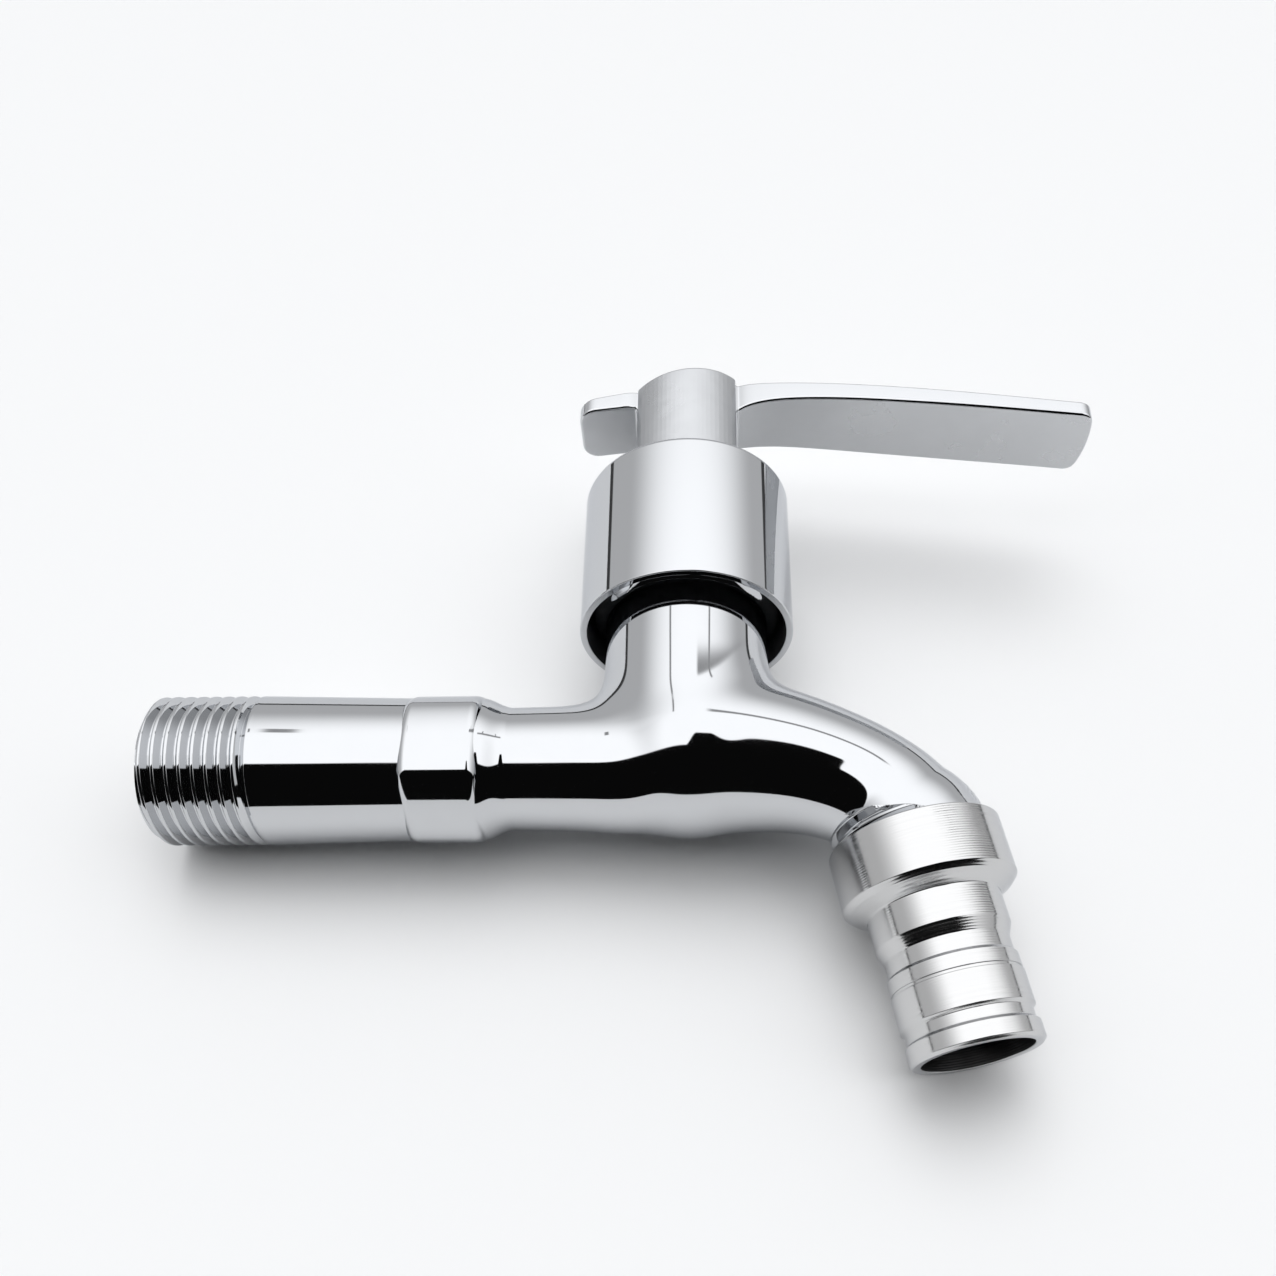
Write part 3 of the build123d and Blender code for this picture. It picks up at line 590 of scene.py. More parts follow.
def thread_stations(sizes, angle, first, last):
    """Distances along the thread that follow its turns, one set for each angle, kept between its
    ends."""
    outline = thread_rows(sizes)
    turns = np.arange(-2, math.ceil((np.max(last) - np.min(first)) / sizes.pitch) + 2)
    shares = (turns[:, None] + outline[None, :, 0]).reshape(-1)
    start = math.floor(np.min(first) / sizes.pitch) * sizes.pitch
    along = start + sizes.pitch * (shares[:, None] + angle[None, :] / (2 * math.pi))
    return np.clip(along, first, last)


# Finishes


def new_group(name, inputs, outputs):
    """Empty shader node group with its named inputs and outputs."""
    group = bpy.data.node_groups.new(name, "ShaderNodeTree")
    for title, kind, default in inputs:
        socket = group.interface.new_socket(title, in_out="INPUT", socket_type=kind)
        if default is not None:
            socket.default_value = default
    for title, kind in outputs:
        group.interface.new_socket(title, in_out="OUTPUT", socket_type=kind)
    return group, group.nodes.new("NodeGroupInput"), group.nodes.new("NodeGroupOutput")


def add_node(tree, kind, inputs, **settings):
    """New node of a tree with its settings. Each input gets its value, or a link where a socket is
    given."""
    node = tree.nodes.new(kind)
    for name, value in settings.items():
        setattr(node, name, value)
    for name, value in inputs.items():
        if isinstance(value, bpy.types.NodeSocket):
            tree.links.new(value, node.inputs[name])
        else:
            node.inputs[name].default_value = value
    return node


def polish_group():
    """Uneven polish: broad soft waves for the height, and cloudy patches for the roughness."""
    group, given, result = new_group(
        "uneven_polish",
        [
            ("Coordinates", "NodeSocketVector", None),
            ("Smoothest", "NodeSocketFloat", 0.03),
            ("Roughest", "NodeSocketFloat", 0.08),
            ("Patch Scale", "NodeSocketFloat", 120.0),
            ("Wave Scale", "NodeSocketFloat", 90.0),
        ],
        [("Roughness", "NodeSocketFloat"), ("Height", "NodeSocketFloat")],
    )
    patch, wave = (
        add_node(group, "ShaderNodeTexNoise", {
            "Vector": given.outputs["Coordinates"], "Scale": given.outputs[scale], "Detail": detail
        })
        for scale, detail in (("Patch Scale", 5), ("Wave Scale", 1))
    )
    spread = add_node(group, "ShaderNodeMapRange", {
        "Value": patch.outputs["Fac"],
        "From Min": 0.35,
        "From Max": 0.7,
        "To Min": given.outputs["Smoothest"],
        "To Max": given.outputs["Roughest"],
    })
    group.links.new(spread.outputs["Result"], result.inputs["Roughness"])
    group.links.new(wave.outputs["Fac"], result.inputs["Height"])
    return group


def turning_group():
    """Fine rings left by turning: a wave along the axis, broken up by clouds, and streaks of noise
    along the axis."""
    group, given, result = new_group(
        "turning_rings",
        [
            ("Along", "NodeSocketFloat", 0.0),
            ("Coordinates", "NodeSocketVector", None),
            ("Rings per mm", "NodeSocketFloat", 3.0),
        ],
        [("Rings", "NodeSocketFloat"), ("Streaks", "NodeSocketFloat")],
    )

    def computed(operation, first, second=0.5):
        node = add_node(group, "ShaderNodeMath", {0: first, 1: second}, operation=operation)
        return node.outputs[0]

    along = given.outputs["Along"]
    turns = computed("MULTIPLY", along, given.outputs["Rings per mm"])
    wave = computed("SINE", computed("MULTIPLY", turns, 2 * math.pi / MM))
    streak = add_node(
        group, "ShaderNodeTexNoise", {"W": along, "Scale": 2600, "Detail": 3}, noise_dimensions="1D"
    )
    cloud = add_node(
        group, "ShaderNodeTexNoise", {"Vector": given.outputs["Coordinates"], "Scale": 260}
    )
    rings = computed("MULTIPLY", wave, cloud.outputs["Fac"])
    group.links.new(rings, result.inputs["Rings"])
    group.links.new(streak.outputs["Fac"], result.inputs["Streaks"])
    return group


def group_named(name):
    """The shared node group of that name, built when it is first asked for."""
    makers = {"uneven_polish": polish_group, "turning_rings": turning_group}
    return bpy.data.node_groups.get(name) or makers[name]()


def empty_material(name, base, metallic, roughness):
    """Material with one Principled BSDF, and that shader's node."""
    material = bpy.data.materials.new(name)
    material.use_nodes = True
    shader = material.node_tree.nodes["Principled BSDF"]
    shader.inputs["Base Color"].default_value = (*base, 1)
    shader.inputs["Metallic"].default_value = metallic
    if metallic > 0.5:
        shader.inputs["Specular Tint"].default_value = (0.78, 0.79, 0.81, 1)
    shader.inputs["Roughness"].default_value = roughness
    return material, shader


def polished(name, base, metallic=1.0, smoothest=0.03, roughest=0.08, bump=0.02, wave=90.0,
             speckle=0.0):
    """Plated or moulded surface with uneven polish and, where it is speckled, faint clouds in its
    colour."""
    material, shader = empty_material(name, base, metallic, smoothest)
    tree = material.node_tree
    place = add_node(tree, "ShaderNodeTexCoord", {}).outputs["Object"]
    polish = tree.nodes.new("ShaderNodeGroup")
    polish.node_tree = group_named("uneven_polish")
    polish.inputs["Smoothest"].default_value = smoothest
    polish.inputs["Roughest"].default_value = roughest
    polish.inputs["Wave Scale"].default_value = wave
    relief = add_node(tree, "ShaderNodeBump", {
        "Strength": bump, "Distance": 0.001, "Height": polish.outputs["Height"]
    })
    tree.links.new(place, polish.inputs["Coordinates"])
    tree.links.new(polish.outputs["Roughness"], shader.inputs["Roughness"])
    tree.links.new(relief.outputs["Normal"], shader.inputs["Normal"])
    if speckle:
        cloud = add_node(tree, "ShaderNodeTexNoise", {"Vector": place, "Scale": 350, "Detail": 6})
        tint = add_node(tree, "ShaderNodeMix", {
            "Factor": cloud.outputs["Fac"],
            "A": (*[value * (1 - speckle) for value in base], 1),
            "B": (*base, 1),
        }, data_type="RGBA")
        tree.links.new(tint.outputs["Result"], shader.inputs["Base Color"])
    return material


def turned_metal(name, base, axis, smoothest, roughest, depth=0.25):
    """Metal with the fine rings of turning about an axis."""
    material, shader = empty_material(name, base, 1.0, smoothest)
    tree = material.node_tree
    origin, _, _, along = AXES[axis]
    place = add_node(tree, "ShaderNodeTexCoord", {}).outputs["Object"]
    shift = add_node(
        tree, "ShaderNodeVectorMath", {0: place, 1: tuple(origin * MM)}, operation="SUBTRACT"
    )
    measure = add_node(
        tree, "ShaderNodeVectorMath", {0: shift.outputs["Vector"], 1: tuple(along)},
        operation="DOT_PRODUCT",
    )
    turning = tree.nodes.new("ShaderNodeGroup")
    turning.node_tree = group_named("turning_rings")
    tree.links.new(measure.outputs["Value"], turning.inputs["Along"])
    tree.links.new(place, turning.inputs["Coordinates"])
    relief = add_node(tree, "ShaderNodeBump", {
        "Strength": depth, "Distance": 0.00003, "Height": turning.outputs["Rings"]
    })
    dull = add_node(tree, "ShaderNodeMapRange", {
        "Value": turning.outputs["Streaks"],
        "From Min": 0.3,
        "From Max": 0.7,
        "To Min": smoothest,
        "To Max": roughest,
    })
    tree.links.new(relief.outputs["Normal"], shader.inputs["Normal"])
    tree.links.new(dull.outputs["Result"], shader.inputs["Roughness"])
    return material


def finish_named(name):
    """The tap's finish of that name, built when it is first asked for."""
    found = bpy.data.materials.get(name)
    if found:
        return found
    colours = bpy.context.scene.tap_finishes
    # The nozzle's bore and socket take a copy of the aluminium at 0.12 of its colour: painted shade in
    # the hollow.
    aluminium_in_painted_shade = tuple(value * 0.12 for value in colours.aluminium)
    turned = {
        "aluminium_turned": (colours.aluminium, "outlet", 0.1, 0.2, 0.15),
        "aluminium_bore_painted_shade": (aluminium_in_painted_shade, "outlet", 0.3, 0.5, 0.6),
        "brass_turned": (colours.brass, "stem", 0.18, 0.34),
    }
    if name in turned:
        return turned_metal(name, *turned[name])
    plain = {"metallic": 0.0}
    smooth = {
        "chrome_polished": dict(base=colours.chrome, roughest=0.06, speckle=0.03),
        "cover_chrome": dict(base=colours.chrome, smoothest=0.025, roughest=0.05, bump=0.01),
        "chrome_satin": dict(
            base=colours.satin, smoothest=0.26, roughest=0.36, bump=0.05, wave=400, speckle=0.05
        ),
        "chrome_lever": dict(base=colours.chrome, smoothest=0.06, roughest=0.12),
        "plating_shadow": dict(
            plain, base=(0.012, 0.012, 0.014), smoothest=0.5, roughest=0.8, bump=0.1
        ),
        "zinc_plated": dict(
            base=(0.68, 0.70, 0.72), smoothest=0.2, roughest=0.4, bump=0.1, wave=600, speckle=0.1
        ),
        "rubber_black": dict(
            plain, base=colours.rubber, smoothest=0.45, roughest=0.7, bump=0.15, wave=700
        ),
        "ceramic_white": dict(
            plain, base=(0.86, 0.85, 0.81), smoothest=0.12, roughest=0.3, speckle=0.06
        ),
        "plastic_white": dict(
            plain, base=(0.8, 0.8, 0.78), smoothest=0.35, roughest=0.5, speckle=0.05
        ),
        "fibre_red": dict(
            plain, base=(0.36, 0.10, 0.06), smoothest=0.6, roughest=0.85, bump=0.3, wave=900,
            speckle=0.35
        ),
        "cap_silver": dict(
            base=(0.7, 0.71, 0.73), metallic=0.9, smoothest=0.2, roughest=0.3, speckle=0.04
        ),
    }
    return polished(name, **smooth[name])


def dress(piece, *finishes):
    """Gives a piece its finishes, the first for every face that isn't told another."""
    piece.data.materials.clear()
    for finish in finishes:
        piece.data.materials.append(finish_named(finish))


def belongs_to_body(piece):
    """A chromed piece of the tap's body."""
    dress(piece, "chrome_polished")
    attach(piece, "tap")
    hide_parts("tap_body")


# Operators


class TAP_OT_casting(bpy.types.Operator):
    """Make the cast body: cone, pipe, valve chamber, neck and spout, flowing into each other"""

    bl_idname = "tap.casting"
    bl_label = "Casting"

    def execute(self, context):
        sizes, thread = in_mm(context.scene.tap_casting), in_mm(context.scene.tap_thread)
        casting = Casting(sizes, thread.bore_radius)
        low, high = np.array([44.0, -14.4, -18.2]), np.array([114.8, 14.4, 28.7])
        points, faces, normals = casting_surface(casting, low, high)
        belongs_to_body(made_object("tap_casting", points, faces, normals))
        return {"FINISHED"}


class TAP_OT_shank(bpy.types.Operator):
    """Make the inlet's threaded shank, with its waterway open at the mouth"""

    bl_idname = "tap.shank"
    bl_label = "Threaded shank"

    def execute(self, context):
        """Circles about the inlet's axis. The thread's radius runs out at its end and is cut by the
        chamfer at the mouth. The rest (distance, radius) goes on to the wrench section and comes
        back through the waterway."""
        sizes = in_mm(context.scene.tap_thread)
        run_out, chamfer, bore = 1.6, 0.85, sizes.bore_radius
        angle = np.linspace(0, 2 * math.pi, 193)
        along = thread_stations(sizes, angle, 0.0, sizes.thread_length)
        depth = np.clip((sizes.thread_length - along) / run_out, 0, 1)
        radius = threaded_radius(sizes, angle, along, depth)
        radius = np.minimum(radius, sizes.crest_radius - chamfer + along)
        rest = np.array([
            (15.9, sizes.crest_radius - 0.02),
            (36.6, sizes.shank_radius),
            (37.0, 9.4),
            (45.0, 9.4),
            (45.0, bore),
            (1.0, bore),
            (0.7, bore + 0.1),
            (0.1, bore + 0.7),
            (0.0, bore + chamfer),
        ])
        along = np.concatenate([along, rest[:, :1] * np.ones_like(angle)])
        radius = np.concatenate([radius, rest[:, 1:] * np.ones_like(angle)])
        points = placed(round_axis(radius, angle, along), "inlet").reshape(-1, 3)
        faces = grid_faces(len(along), len(angle), closed_rows=True)
        belongs_to_body(made_object("inlet_shank", points, faces))
        return {"FINISHED"}


class TAP_OT_wrench_section(bpy.types.Operator):
    """Make the six-sided wrench section behind the shank, with soft corners"""

    bl_idname = "tap.wrench_section"
    bl_label = "Wrench section"

    def execute(self, context):
        """A side whose normal has the angle t lies m - s cos(6t) from the axis: m is the mean of the
        flats' and the corners' distance, s half their difference. The point that it touches is that
        far along the normal, and 6 s sin(6t) across it. The ends are quarter circles."""
        sizes = in_mm(context.scene.tap_thread)
        start, start_round, end, end_round = 35.4, 1.5, 46.3, 1.6
        flat, corner = sizes.across_flats / 2, sizes.across_corners / 2
        swing = (corner - flat) / 2
        angle = np.linspace(0, 2 * math.pi, 240, endpoint=False)
        reach, across = flat + swing - swing * np.cos(6 * angle), 6 * swing * np.sin(6 * angle)
        turn = np.linspace(0, math.pi / 2, 9)
        along = np.concatenate([
            start + start_round * (1 - np.cos(turn)), end - end_round * (1 - np.cos(turn[::-1]))
        ])
        inward = np.concatenate([
            start_round * (1 - np.sin(turn)), end_round * (1 - np.sin(turn[::-1]))
        ])
        out = reach - inward[:, None]
        side = out * np.cos(angle) - across * np.sin(angle)
        up = out * np.sin(angle) + across * np.cos(angle)
        points = np.stack([side, up, along[:, None] * np.ones_like(angle)], axis=-1)
        faces = grid_faces(len(along), len(angle), closed_rows=True, closed_columns=True)
        points = placed(points, "inlet").reshape(-1, 3)
        belongs_to_body(made_object("wrench_section", points, faces))
        return {"FINISHED"}


class TAP_OT_spigot(bpy.types.Operator):
    """Make the outlet's threaded spigot, cut off on a slant at its top"""

    bl_idname = "tap.spigot"
    bl_label = "Outlet spigot"

    def execute(self, context):
        """Circles about the outlet's axis, with the thread's radius outside and the bore inside. The
        top is lower by slant cos(angle) than its middle."""
        sizes = in_mm(context.scene.tap_thread)
        chamfer, run_out, bore, middle, slant = 0.9, 0.5, 8.6, 29.7, 3.7
        angle = np.linspace(0, 2 * math.pi, 193)
        top = middle - slant * np.cos(angle)
        along = thread_stations(sizes, angle, SPIGOT_BOTTOM, top)
        depth = np.clip((top - along) / run_out + 0.35, 0, 1)
        radius = threaded_radius(sizes, angle, along, depth)
        radius = np.minimum(radius, sizes.crest_radius - chamfer + (along - SPIGOT_BOTTOM))
        bottom = np.full((1, len(angle)), SPIGOT_BOTTOM)
        along = np.concatenate([along, [top - 0.15], [top - 0.6], bottom])
        inner = np.array([[bore + 0.3], [bore], [bore]]) * np.ones_like(angle)
        radius = np.concatenate([radius, inner])
        points = placed(round_axis(radius, angle, along), "outlet").reshape(-1, 3)
        faces = grid_faces(len(along), len(angle), closed_rows=True)
        belongs_to_body(made_object("outlet_spigot", points, faces))
        return {"FINISHED"}


class TAP_OT_cover(bpy.types.Operator):
    """Make the bell-shaped cover over the headwork"""

    bl_idname = "tap.cover"
    bl_label = "Headwork cover"

    def execute(self, context):
        """Its outline (radius, height, rounding) turned once round the stem's axis: outer side, top
        with its hole, the boss under it, and the inner side."""
        sizes = in_mm(context.scene.tap_cover)
        hole, boss_inside, boss_outside = 6.8, 9.05, 11.2
        plate = sizes.top - 1.6
        boss_end = plate - 6
        inner_top, inner_bottom = sizes.top_radius - sizes.wall, sizes.bottom_radius - sizes.wall
        corners = [
            (sizes.bottom_radius, sizes.bottom, 0.2),
            (sizes.top_radius, sizes.top, sizes.edge),
            (hole, sizes.top, 0.15),
            (hole, plate, 0.1),
            (boss_inside, plate, 0.1),
            (boss_inside, boss_end, 0.2),
            (boss_outside, boss_end, 0.2),
            (boss_outside, plate, 0.3),
            (inner_top, plate, 0.4),
            (inner_bottom, sizes.bottom, 0.15),
        ]
        piece = turned_piece("cover_shell", "stem", corners, columns=256, steps=6)
        dress(piece, "cover_chrome", "plating_shadow")
        centre = face_centres(piece)
        inside = np.hypot(centre[:, 0] - STEM_X, centre[:, 1]) < inner_bottom + 0.02
        inside &= (centre[:, 2] < sizes.top - 0.4) & (centre[:, 2] > sizes.bottom + 0.1)
        give_second_finish(piece, inside)
        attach(piece, "tap")
        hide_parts("headwork_cover")
        return {"FINISHED"}


class TAP_OT_nozzle(bpy.types.Operator):
    """Make the turned nozzle: threaded collar, steps, grooves and lip"""

    bl_idname = "tap.nozzle"
    bl_label = "Hose nozzle"

    def execute(self, context):
        """Its outline (radius, height, rounding) turned once round the outlet's axis, from the lip up
        the outside to the collar's top, and back through the socket and the bore."""
        sizes = in_mm(context.scene.tap_nozzle)
        collar, tail, bore = sizes.collar_radius, sizes.tail_radius, sizes.bore_radius
        edge, groove, neck, seat, top = sizes.edge, 8.0, 8.7, 23.6, 29.3
        corners = [
            (bore, 0.0, 0.2),
            (tail - 0.4, 0.0, edge),
            (tail, 0.4, edge),
            (tail, 2.4, edge),
            (groove, 2.8, 0.15),
            (groove, 4.2, 0.15),
            (tail, 4.6, edge),
            (tail, 8.9, edge),
            (tail - 0.25, 8.9, 0.05),
            (tail - 0.25, 9.3, 0.05),
            (8.35, 9.3, 0.08),
            (8.35, 11.1, edge),
            (groove, 11.5, 0.15),
            (groove, 13.6, 0.15),
            (neck, 15.3, 0.2),
            (neck, 19.6, 0.3),
            (collar - 0.7, 20.8, 0.15),
            (collar, 21.5, edge),
            (collar, top, 0.25),
            (THREADED_HOLE_RADIUS, top, 0.15),
            (THREADED_HOLE_RADIUS, seat, 0.1),
            (bore, seat, 0.1),
        ]
        piece = turned_piece("turned_nozzle", "outlet", corners, columns=256)
        dress(piece, "aluminium_turned", "aluminium_bore_painted_shade")
        local = seen_from(face_centres(piece), "outlet")
        from_axis, up = np.hypot(local[:, 0], local[:, 1]), local[:, 2]
        in_bore = (from_axis < bore + 0.03) & (up > 0.15)
        in_socket = (from_axis < THREADED_HOLE_RADIUS + 0.03) & (up > seat - 0.2)
        # The bore and the socket take the darkened aluminium: painted shade inside the nozzle.
        give_second_finish(piece, in_bore | in_socket)
        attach(piece, "tap")
        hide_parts("hose_nozzle")
        return {"FINISHED"}


def hub_outline(sizes, count=24):
    """The hub from above: two bowed sides of radius 10.4 and two flat ends with rounded corners."""
    bow_radius, corner, soft = 10.4, 0.6, 0.5
    half, bow = sizes.hub_width / 2, bow_radius - sizes.hub_depth / 2
    x = np.linspace(half, -half, count)
    y = np.sqrt(bow_radius ** 2 - x ** 2) - bow
    corners = [(px, py, corner if abs(abs(px) - half) < 1e-6 else soft) for px, py in zip(x, y)]
    return rounded(corners + [(-px, -py, radius) for px, py, radius in corners], 4)


def plan_shell(plan, spine, edges, top_at, bottom_at, rings=6, steps=6):
    """Rows of points of a closed slab over a plan. From the spine to the plan's edge the top follows
    its height, the edge is a quarter circle over and under, and the bottom comes back. Each point is
    the spine's, plus a share of the way to the plan's edge."""
    inward = spine - plan
    inward /= np.maximum(np.linalg.norm(inward, axis=1, keepdims=True), 1e-9)
    rows = []
    for side, height, edge in ((1, top_at, edges[0]), (-1, bottom_at, edges[1])):
        part = []
        for share in np.linspace(0, 1, rings + 1):
            place = spine + (plan + inward * edge - spine) * share
            part.append(np.column_stack([place, height(place[:, 0], place[:, 1])]))
        for turn in np.linspace(0, math.pi / 2, steps + 1)[1:]:
            place = plan + inward * edge * (1 - math.sin(turn))
            drop = edge * (1 - math.cos(turn))
            part.append(np.column_stack([place, height(place[:, 0], place[:, 1]) - side * drop]))
        rows += part if side == 1 else part[::-1]
    return np.stack(rows)


def flare(past, radius):
    """What a slab gains at a distance past the hub: a quarter circle's height that ends at its
    radius."""
    inner = np.clip(1 - past / radius, 0, 1)
    return radius * (1 - np.sqrt(1 - inner * inner))


def both_sides(upper):
    """A plan's upper half with its mirror image, which comes back from the tip."""
    return np.concatenate([upper, upper[-2::-1] * [1, -1]])


class TAP_OT_handle(bpy.types.Operator):
    """Make the lever handle: hub, long blade and short tail"""

    bl_idname = "tap.handle"
    bl_label = "Lever handle"

    def execute(self, context):
        sizes = in_mm(context.scene.tap_handle)
        self.make_hub(sizes)
        self.make_blade(sizes)
        self.make_tail(sizes)
        return {"FINISHED"}

    def finish(self, piece, *finishes):
        dress(piece, *finishes)
        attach(piece, "lever")
        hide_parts("lever_handle")

    def make_hub(self, sizes):
        """Hub: its outline carried up, with a rounded top edge on a slope, a round seat for the cap,
        and the splined socket's clearance inside."""
        plan = hub_outline(sizes)
        angle = np.arctan2(plan[:, 1], plan[:, 0])
        circle = np.stack([np.cos(angle), np.sin(angle)], axis=-1)
        inward = -plan / np.linalg.norm(plan, axis=1, keepdims=True)
        edge, top, bottom = sizes.top_edge * 1.6, sizes.hub_top, 45.4
        seat, screw_seat, socket_top, socket_bottom = top - 1.4, 59.4, 57.4, 46.6
        cap_radius, recess, screw_hole, socket, mouth = 5.9, 4.7, 2.25, 4.05, 5.2
        rows = []

        def add(place, height):
            rows.append(np.column_stack([place, height + np.zeros(len(plan))]))

        def sloped(place, under=0.0):
            return top + place[:, 0] * HUB_TOP_SLOPE - under

        add(circle * mouth, bottom)
        add(plan + inward * 0.3, bottom)
        add(plan, bottom + 0.3)
        for turn in np.linspace(0, math.pi / 2, 7):
            place = plan + inward * edge * (1 - math.cos(turn))
            add(place, sloped(place, edge * (1 - math.sin(turn))))
        for radius, under in ((cap_radius + 0.15, 0.0), (cap_radius, 0.15)):
            add(circle * radius, sloped(circle * radius, under))
        for radius, height in (
            (cap_radius, seat), (recess, seat), (recess, screw_seat), (screw_hole, screw_seat),
            (screw_hole, socket_top), (socket, socket_top), (socket, socket_bottom),
            (mouth, socket_bottom),
        ):
            add(circle * radius, height)
        points = np.stack(rows) + [STEM_X, 0, 0]
        faces = grid_faces(len(rows), len(plan), closed_rows=True, closed_columns=True)
        self.finish(made_object("handle_hub", points.reshape(-1, 3), faces), "chrome_satin")

    def slab(self, name, sizes, plan, spine_x, top_at, bottom_at):
        """Closed slab over a plan that starts and ends inside the hub. Its spine lies on the middle
        line. Its underside is satin, a rougher plating whose slightly darker colour also paints shade
        under the handle, and the rest is polished."""
        spine = np.column_stack([spine_x, np.zeros(len(plan))])
        points = plan_shell(plan, spine, (sizes.top_edge, sizes.edge), top_at, bottom_at)
        faces = grid_faces(*points.shape[:2], closed_columns=True)
        points = points + [STEM_X, 0, 0]
        piece = made_object(name, points.reshape(-1, 3), faces)
        self.finish(piece, "chrome_lever", "chrome_satin")
        normal = np.array([face.normal for face in piece.data.polygons])
        # Faces that look down take the satin finish: rougher plating, and a slightly darker colour
        # that is painted shade under the handle.
        give_second_finish(piece, normal[:, 2] < -0.9)

    def make_blade(self, sizes):
        """Blade: from above it is waisted at the hub and widens to a rounded tip. From the side its
        top dips in a long curve, and it is thick at the hub and thin beyond. Both widen by a quarter
        circle where they meet the hub."""
        root, reach, half = sizes.hub_width / 2, sizes.blade_reach, 5.9
        tip_radius, corner, crown_radius = 21.8, 1.6, 60.0
        root_drop, tip_drop, bend_x = 0.1, 7.05, 20.0
        thickness, thinner_at_tip, thicker_at_root, fades_over = 3.4, 0.6, 2.0, 4.0
        end = reach - tip_radius + math.sqrt(tip_radius ** 2 - half ** 2)

        def half_width(x):
            knots, values = [root, root + 3, root + 7.5, end], [4.1, 4.9, 5.3, half]
            return smooth_curve(knots, values, x, (0.5, 0.0)) + flare(x - root, sizes.fillet)

        along = np.concatenate([np.linspace(0, 0.08, 14)[:-1], np.linspace(0.08, 1, 60)])
        x = root - 1 + (end - root + 1 - corner) * along
        side = np.stack([x, half_width(np.maximum(x, root))], axis=-1)
        share = np.linspace(0, 1, 9)[1:, None]
        tip_turn = math.asin((half - corner) / tip_radius)
        after = np.array([reach - tip_radius + tip_radius * math.cos(tip_turn), half - corner])
        bend = side[-1] * (1 - share) ** 2 + after * share ** 2
        bend = bend + 2 * np.array([end, half]) * share * (1 - share)
        turn = np.linspace(tip_turn, 0, 9)[1:]
        tip = np.stack(
            [reach - tip_radius + tip_radius * np.cos(turn), tip_radius * np.sin(turn)], axis=-1
        )
        plan = both_sides(np.concatenate([side, bend, tip]))

        def share_at(x):
            """Share s of a curve through three x, root - 1, bend_x and reach + 1, at which it passes
            x. Its x is their mean with the weights (1 - s)^2, 2 s (1 - s) and s^2."""
            first, last = root - 1, reach + 1
            bent = first - 2 * bend_x + last
            share = (first - bend_x + np.sqrt((bend_x - first) ** 2 + bent * (x - first))) / bent
            return np.clip(share, 0, 1.05)

        def dip(share):
            """Drop of the top: root_drop (1 - s)^2 + tip_drop s^2."""
            return root_drop * (1 - share) ** 2 + tip_drop * share ** 2

        def top_at(x, y):
            """The hub's top less the dip, and less a circle's drop across the blade."""
            crown = crown_radius - np.sqrt(crown_radius ** 2 - y * y)
            return sizes.hub_top - dip(share_at(x)) - crown

        def bottom_at(x, y):
            """Under the dip by the thickness, which falls with s^3 and swells towards the hub."""
            share, past = share_at(x), x - root
            thick = thickness - thinner_at_tip * share ** 3
            thick = thick + thicker_at_root * np.exp(-np.maximum(0, past) / fades_over)
            return sizes.hub_top - dip(share) - thick - flare(past, sizes.fillet)

        self.slab("handle_blade", sizes, plan, np.minimum(plan[:, 0], reach - half), top_at, bottom_at)

    def make_tail(self, sizes):
        """Tail: a short slab with a rounded end. Its top and its bottom fall in straight lines from
        the hub, where it is waisted by a parabola."""
        root, reach, half, corner = -sizes.hub_width / 2, -sizes.tail_reach, 5.1, 2.6
        waist, waist_length, near_hub = 0.45, 2.5, 1.4
        top_drop, top_fall, bottom_drop, bottom_fall = 1.45, 1.9, 4.75, 1.0
        x = np.concatenate([
            np.linspace(root + 1, root - near_hub, 14)[:-1],
            np.linspace(root - near_hub, reach + corner, 12),
        ])
        wide = half - waist * np.clip(1 - (root - x) / waist_length, 0, 1) ** 2
        side = np.stack([x, wide], axis=-1)
        turn = np.linspace(0, math.pi / 2, 9)[1:]
        bend = np.stack(
            [reach + corner - corner * np.sin(turn), half - corner + corner * np.cos(turn)], axis=-1
        )
        straight = np.stack([np.full(5, reach), np.linspace(half - corner, 0, 6)[1:]], axis=-1)
        plan = both_sides(np.concatenate([side, bend, straight]))

        def share_at(x):
            return (root - x) / (root - reach)

        def top_at(x, y):
            return sizes.hub_top - top_drop - top_fall * share_at(x)

        def bottom_at(x, y):
            low = sizes.hub_top - bottom_drop - bottom_fall * share_at(x)
            return low - flare(root - x, sizes.fillet)

        self.slab("handle_tail", sizes, plan, np.maximum(plan[:, 0], reach + half), top_at, bottom_at)


class TAP_OT_cap(bpy.types.Operator):
    """Make the plain plug in the hub's top"""

    bl_idname = "tap.cap"
    bl_label = "Index cap"

    def execute(self, context):
        """Circles (radius, height). The upper ones lie on the hub's slope, the lower ones level."""
        sizes = in_mm(context.scene.tap_handle)
        angle = np.linspace(0, 2 * math.pi, 128, endpoint=False)
        top, seat = sizes.hub_top + 0.3, sizes.hub_top - 1.4
        radius, edge, plug, inside = 5.8, 0.3, 4.6, 3.9
        upper = [(0.0, 0.12), (2.0, 0.11), (4.0, 0.06), (5.3, 0.0)]
        upper += [
            (radius - edge * (1 - math.sin(turn)), -edge * (1 - math.cos(turn)))
            for turn in np.linspace(0, math.pi / 2, 6)
        ]
        lower = [
            (radius, seat),
            (plug, seat),
            (plug, seat - 1.9),
            (inside, seat - 1.9),
            (inside, seat - 0.1),
            (0.0, seat - 0.1),
        ]
        rows = [
            round_axis(reach, angle, top + reach * np.cos(angle) * HUB_TOP_SLOPE + lift)
            for reach, lift in upper
        ]
        rows += [round_axis(reach, angle, height) for reach, height in lower]
        points = placed(np.stack(rows), "stem").reshape(-1, 3)
        piece = made_object("cap_plug", points, grid_faces(len(rows), len(angle), closed_columns=True))
        dress(piece, "cap_silver")
        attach(piece, "lever")
        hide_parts("index_cap")
        return {"FINISHED"}


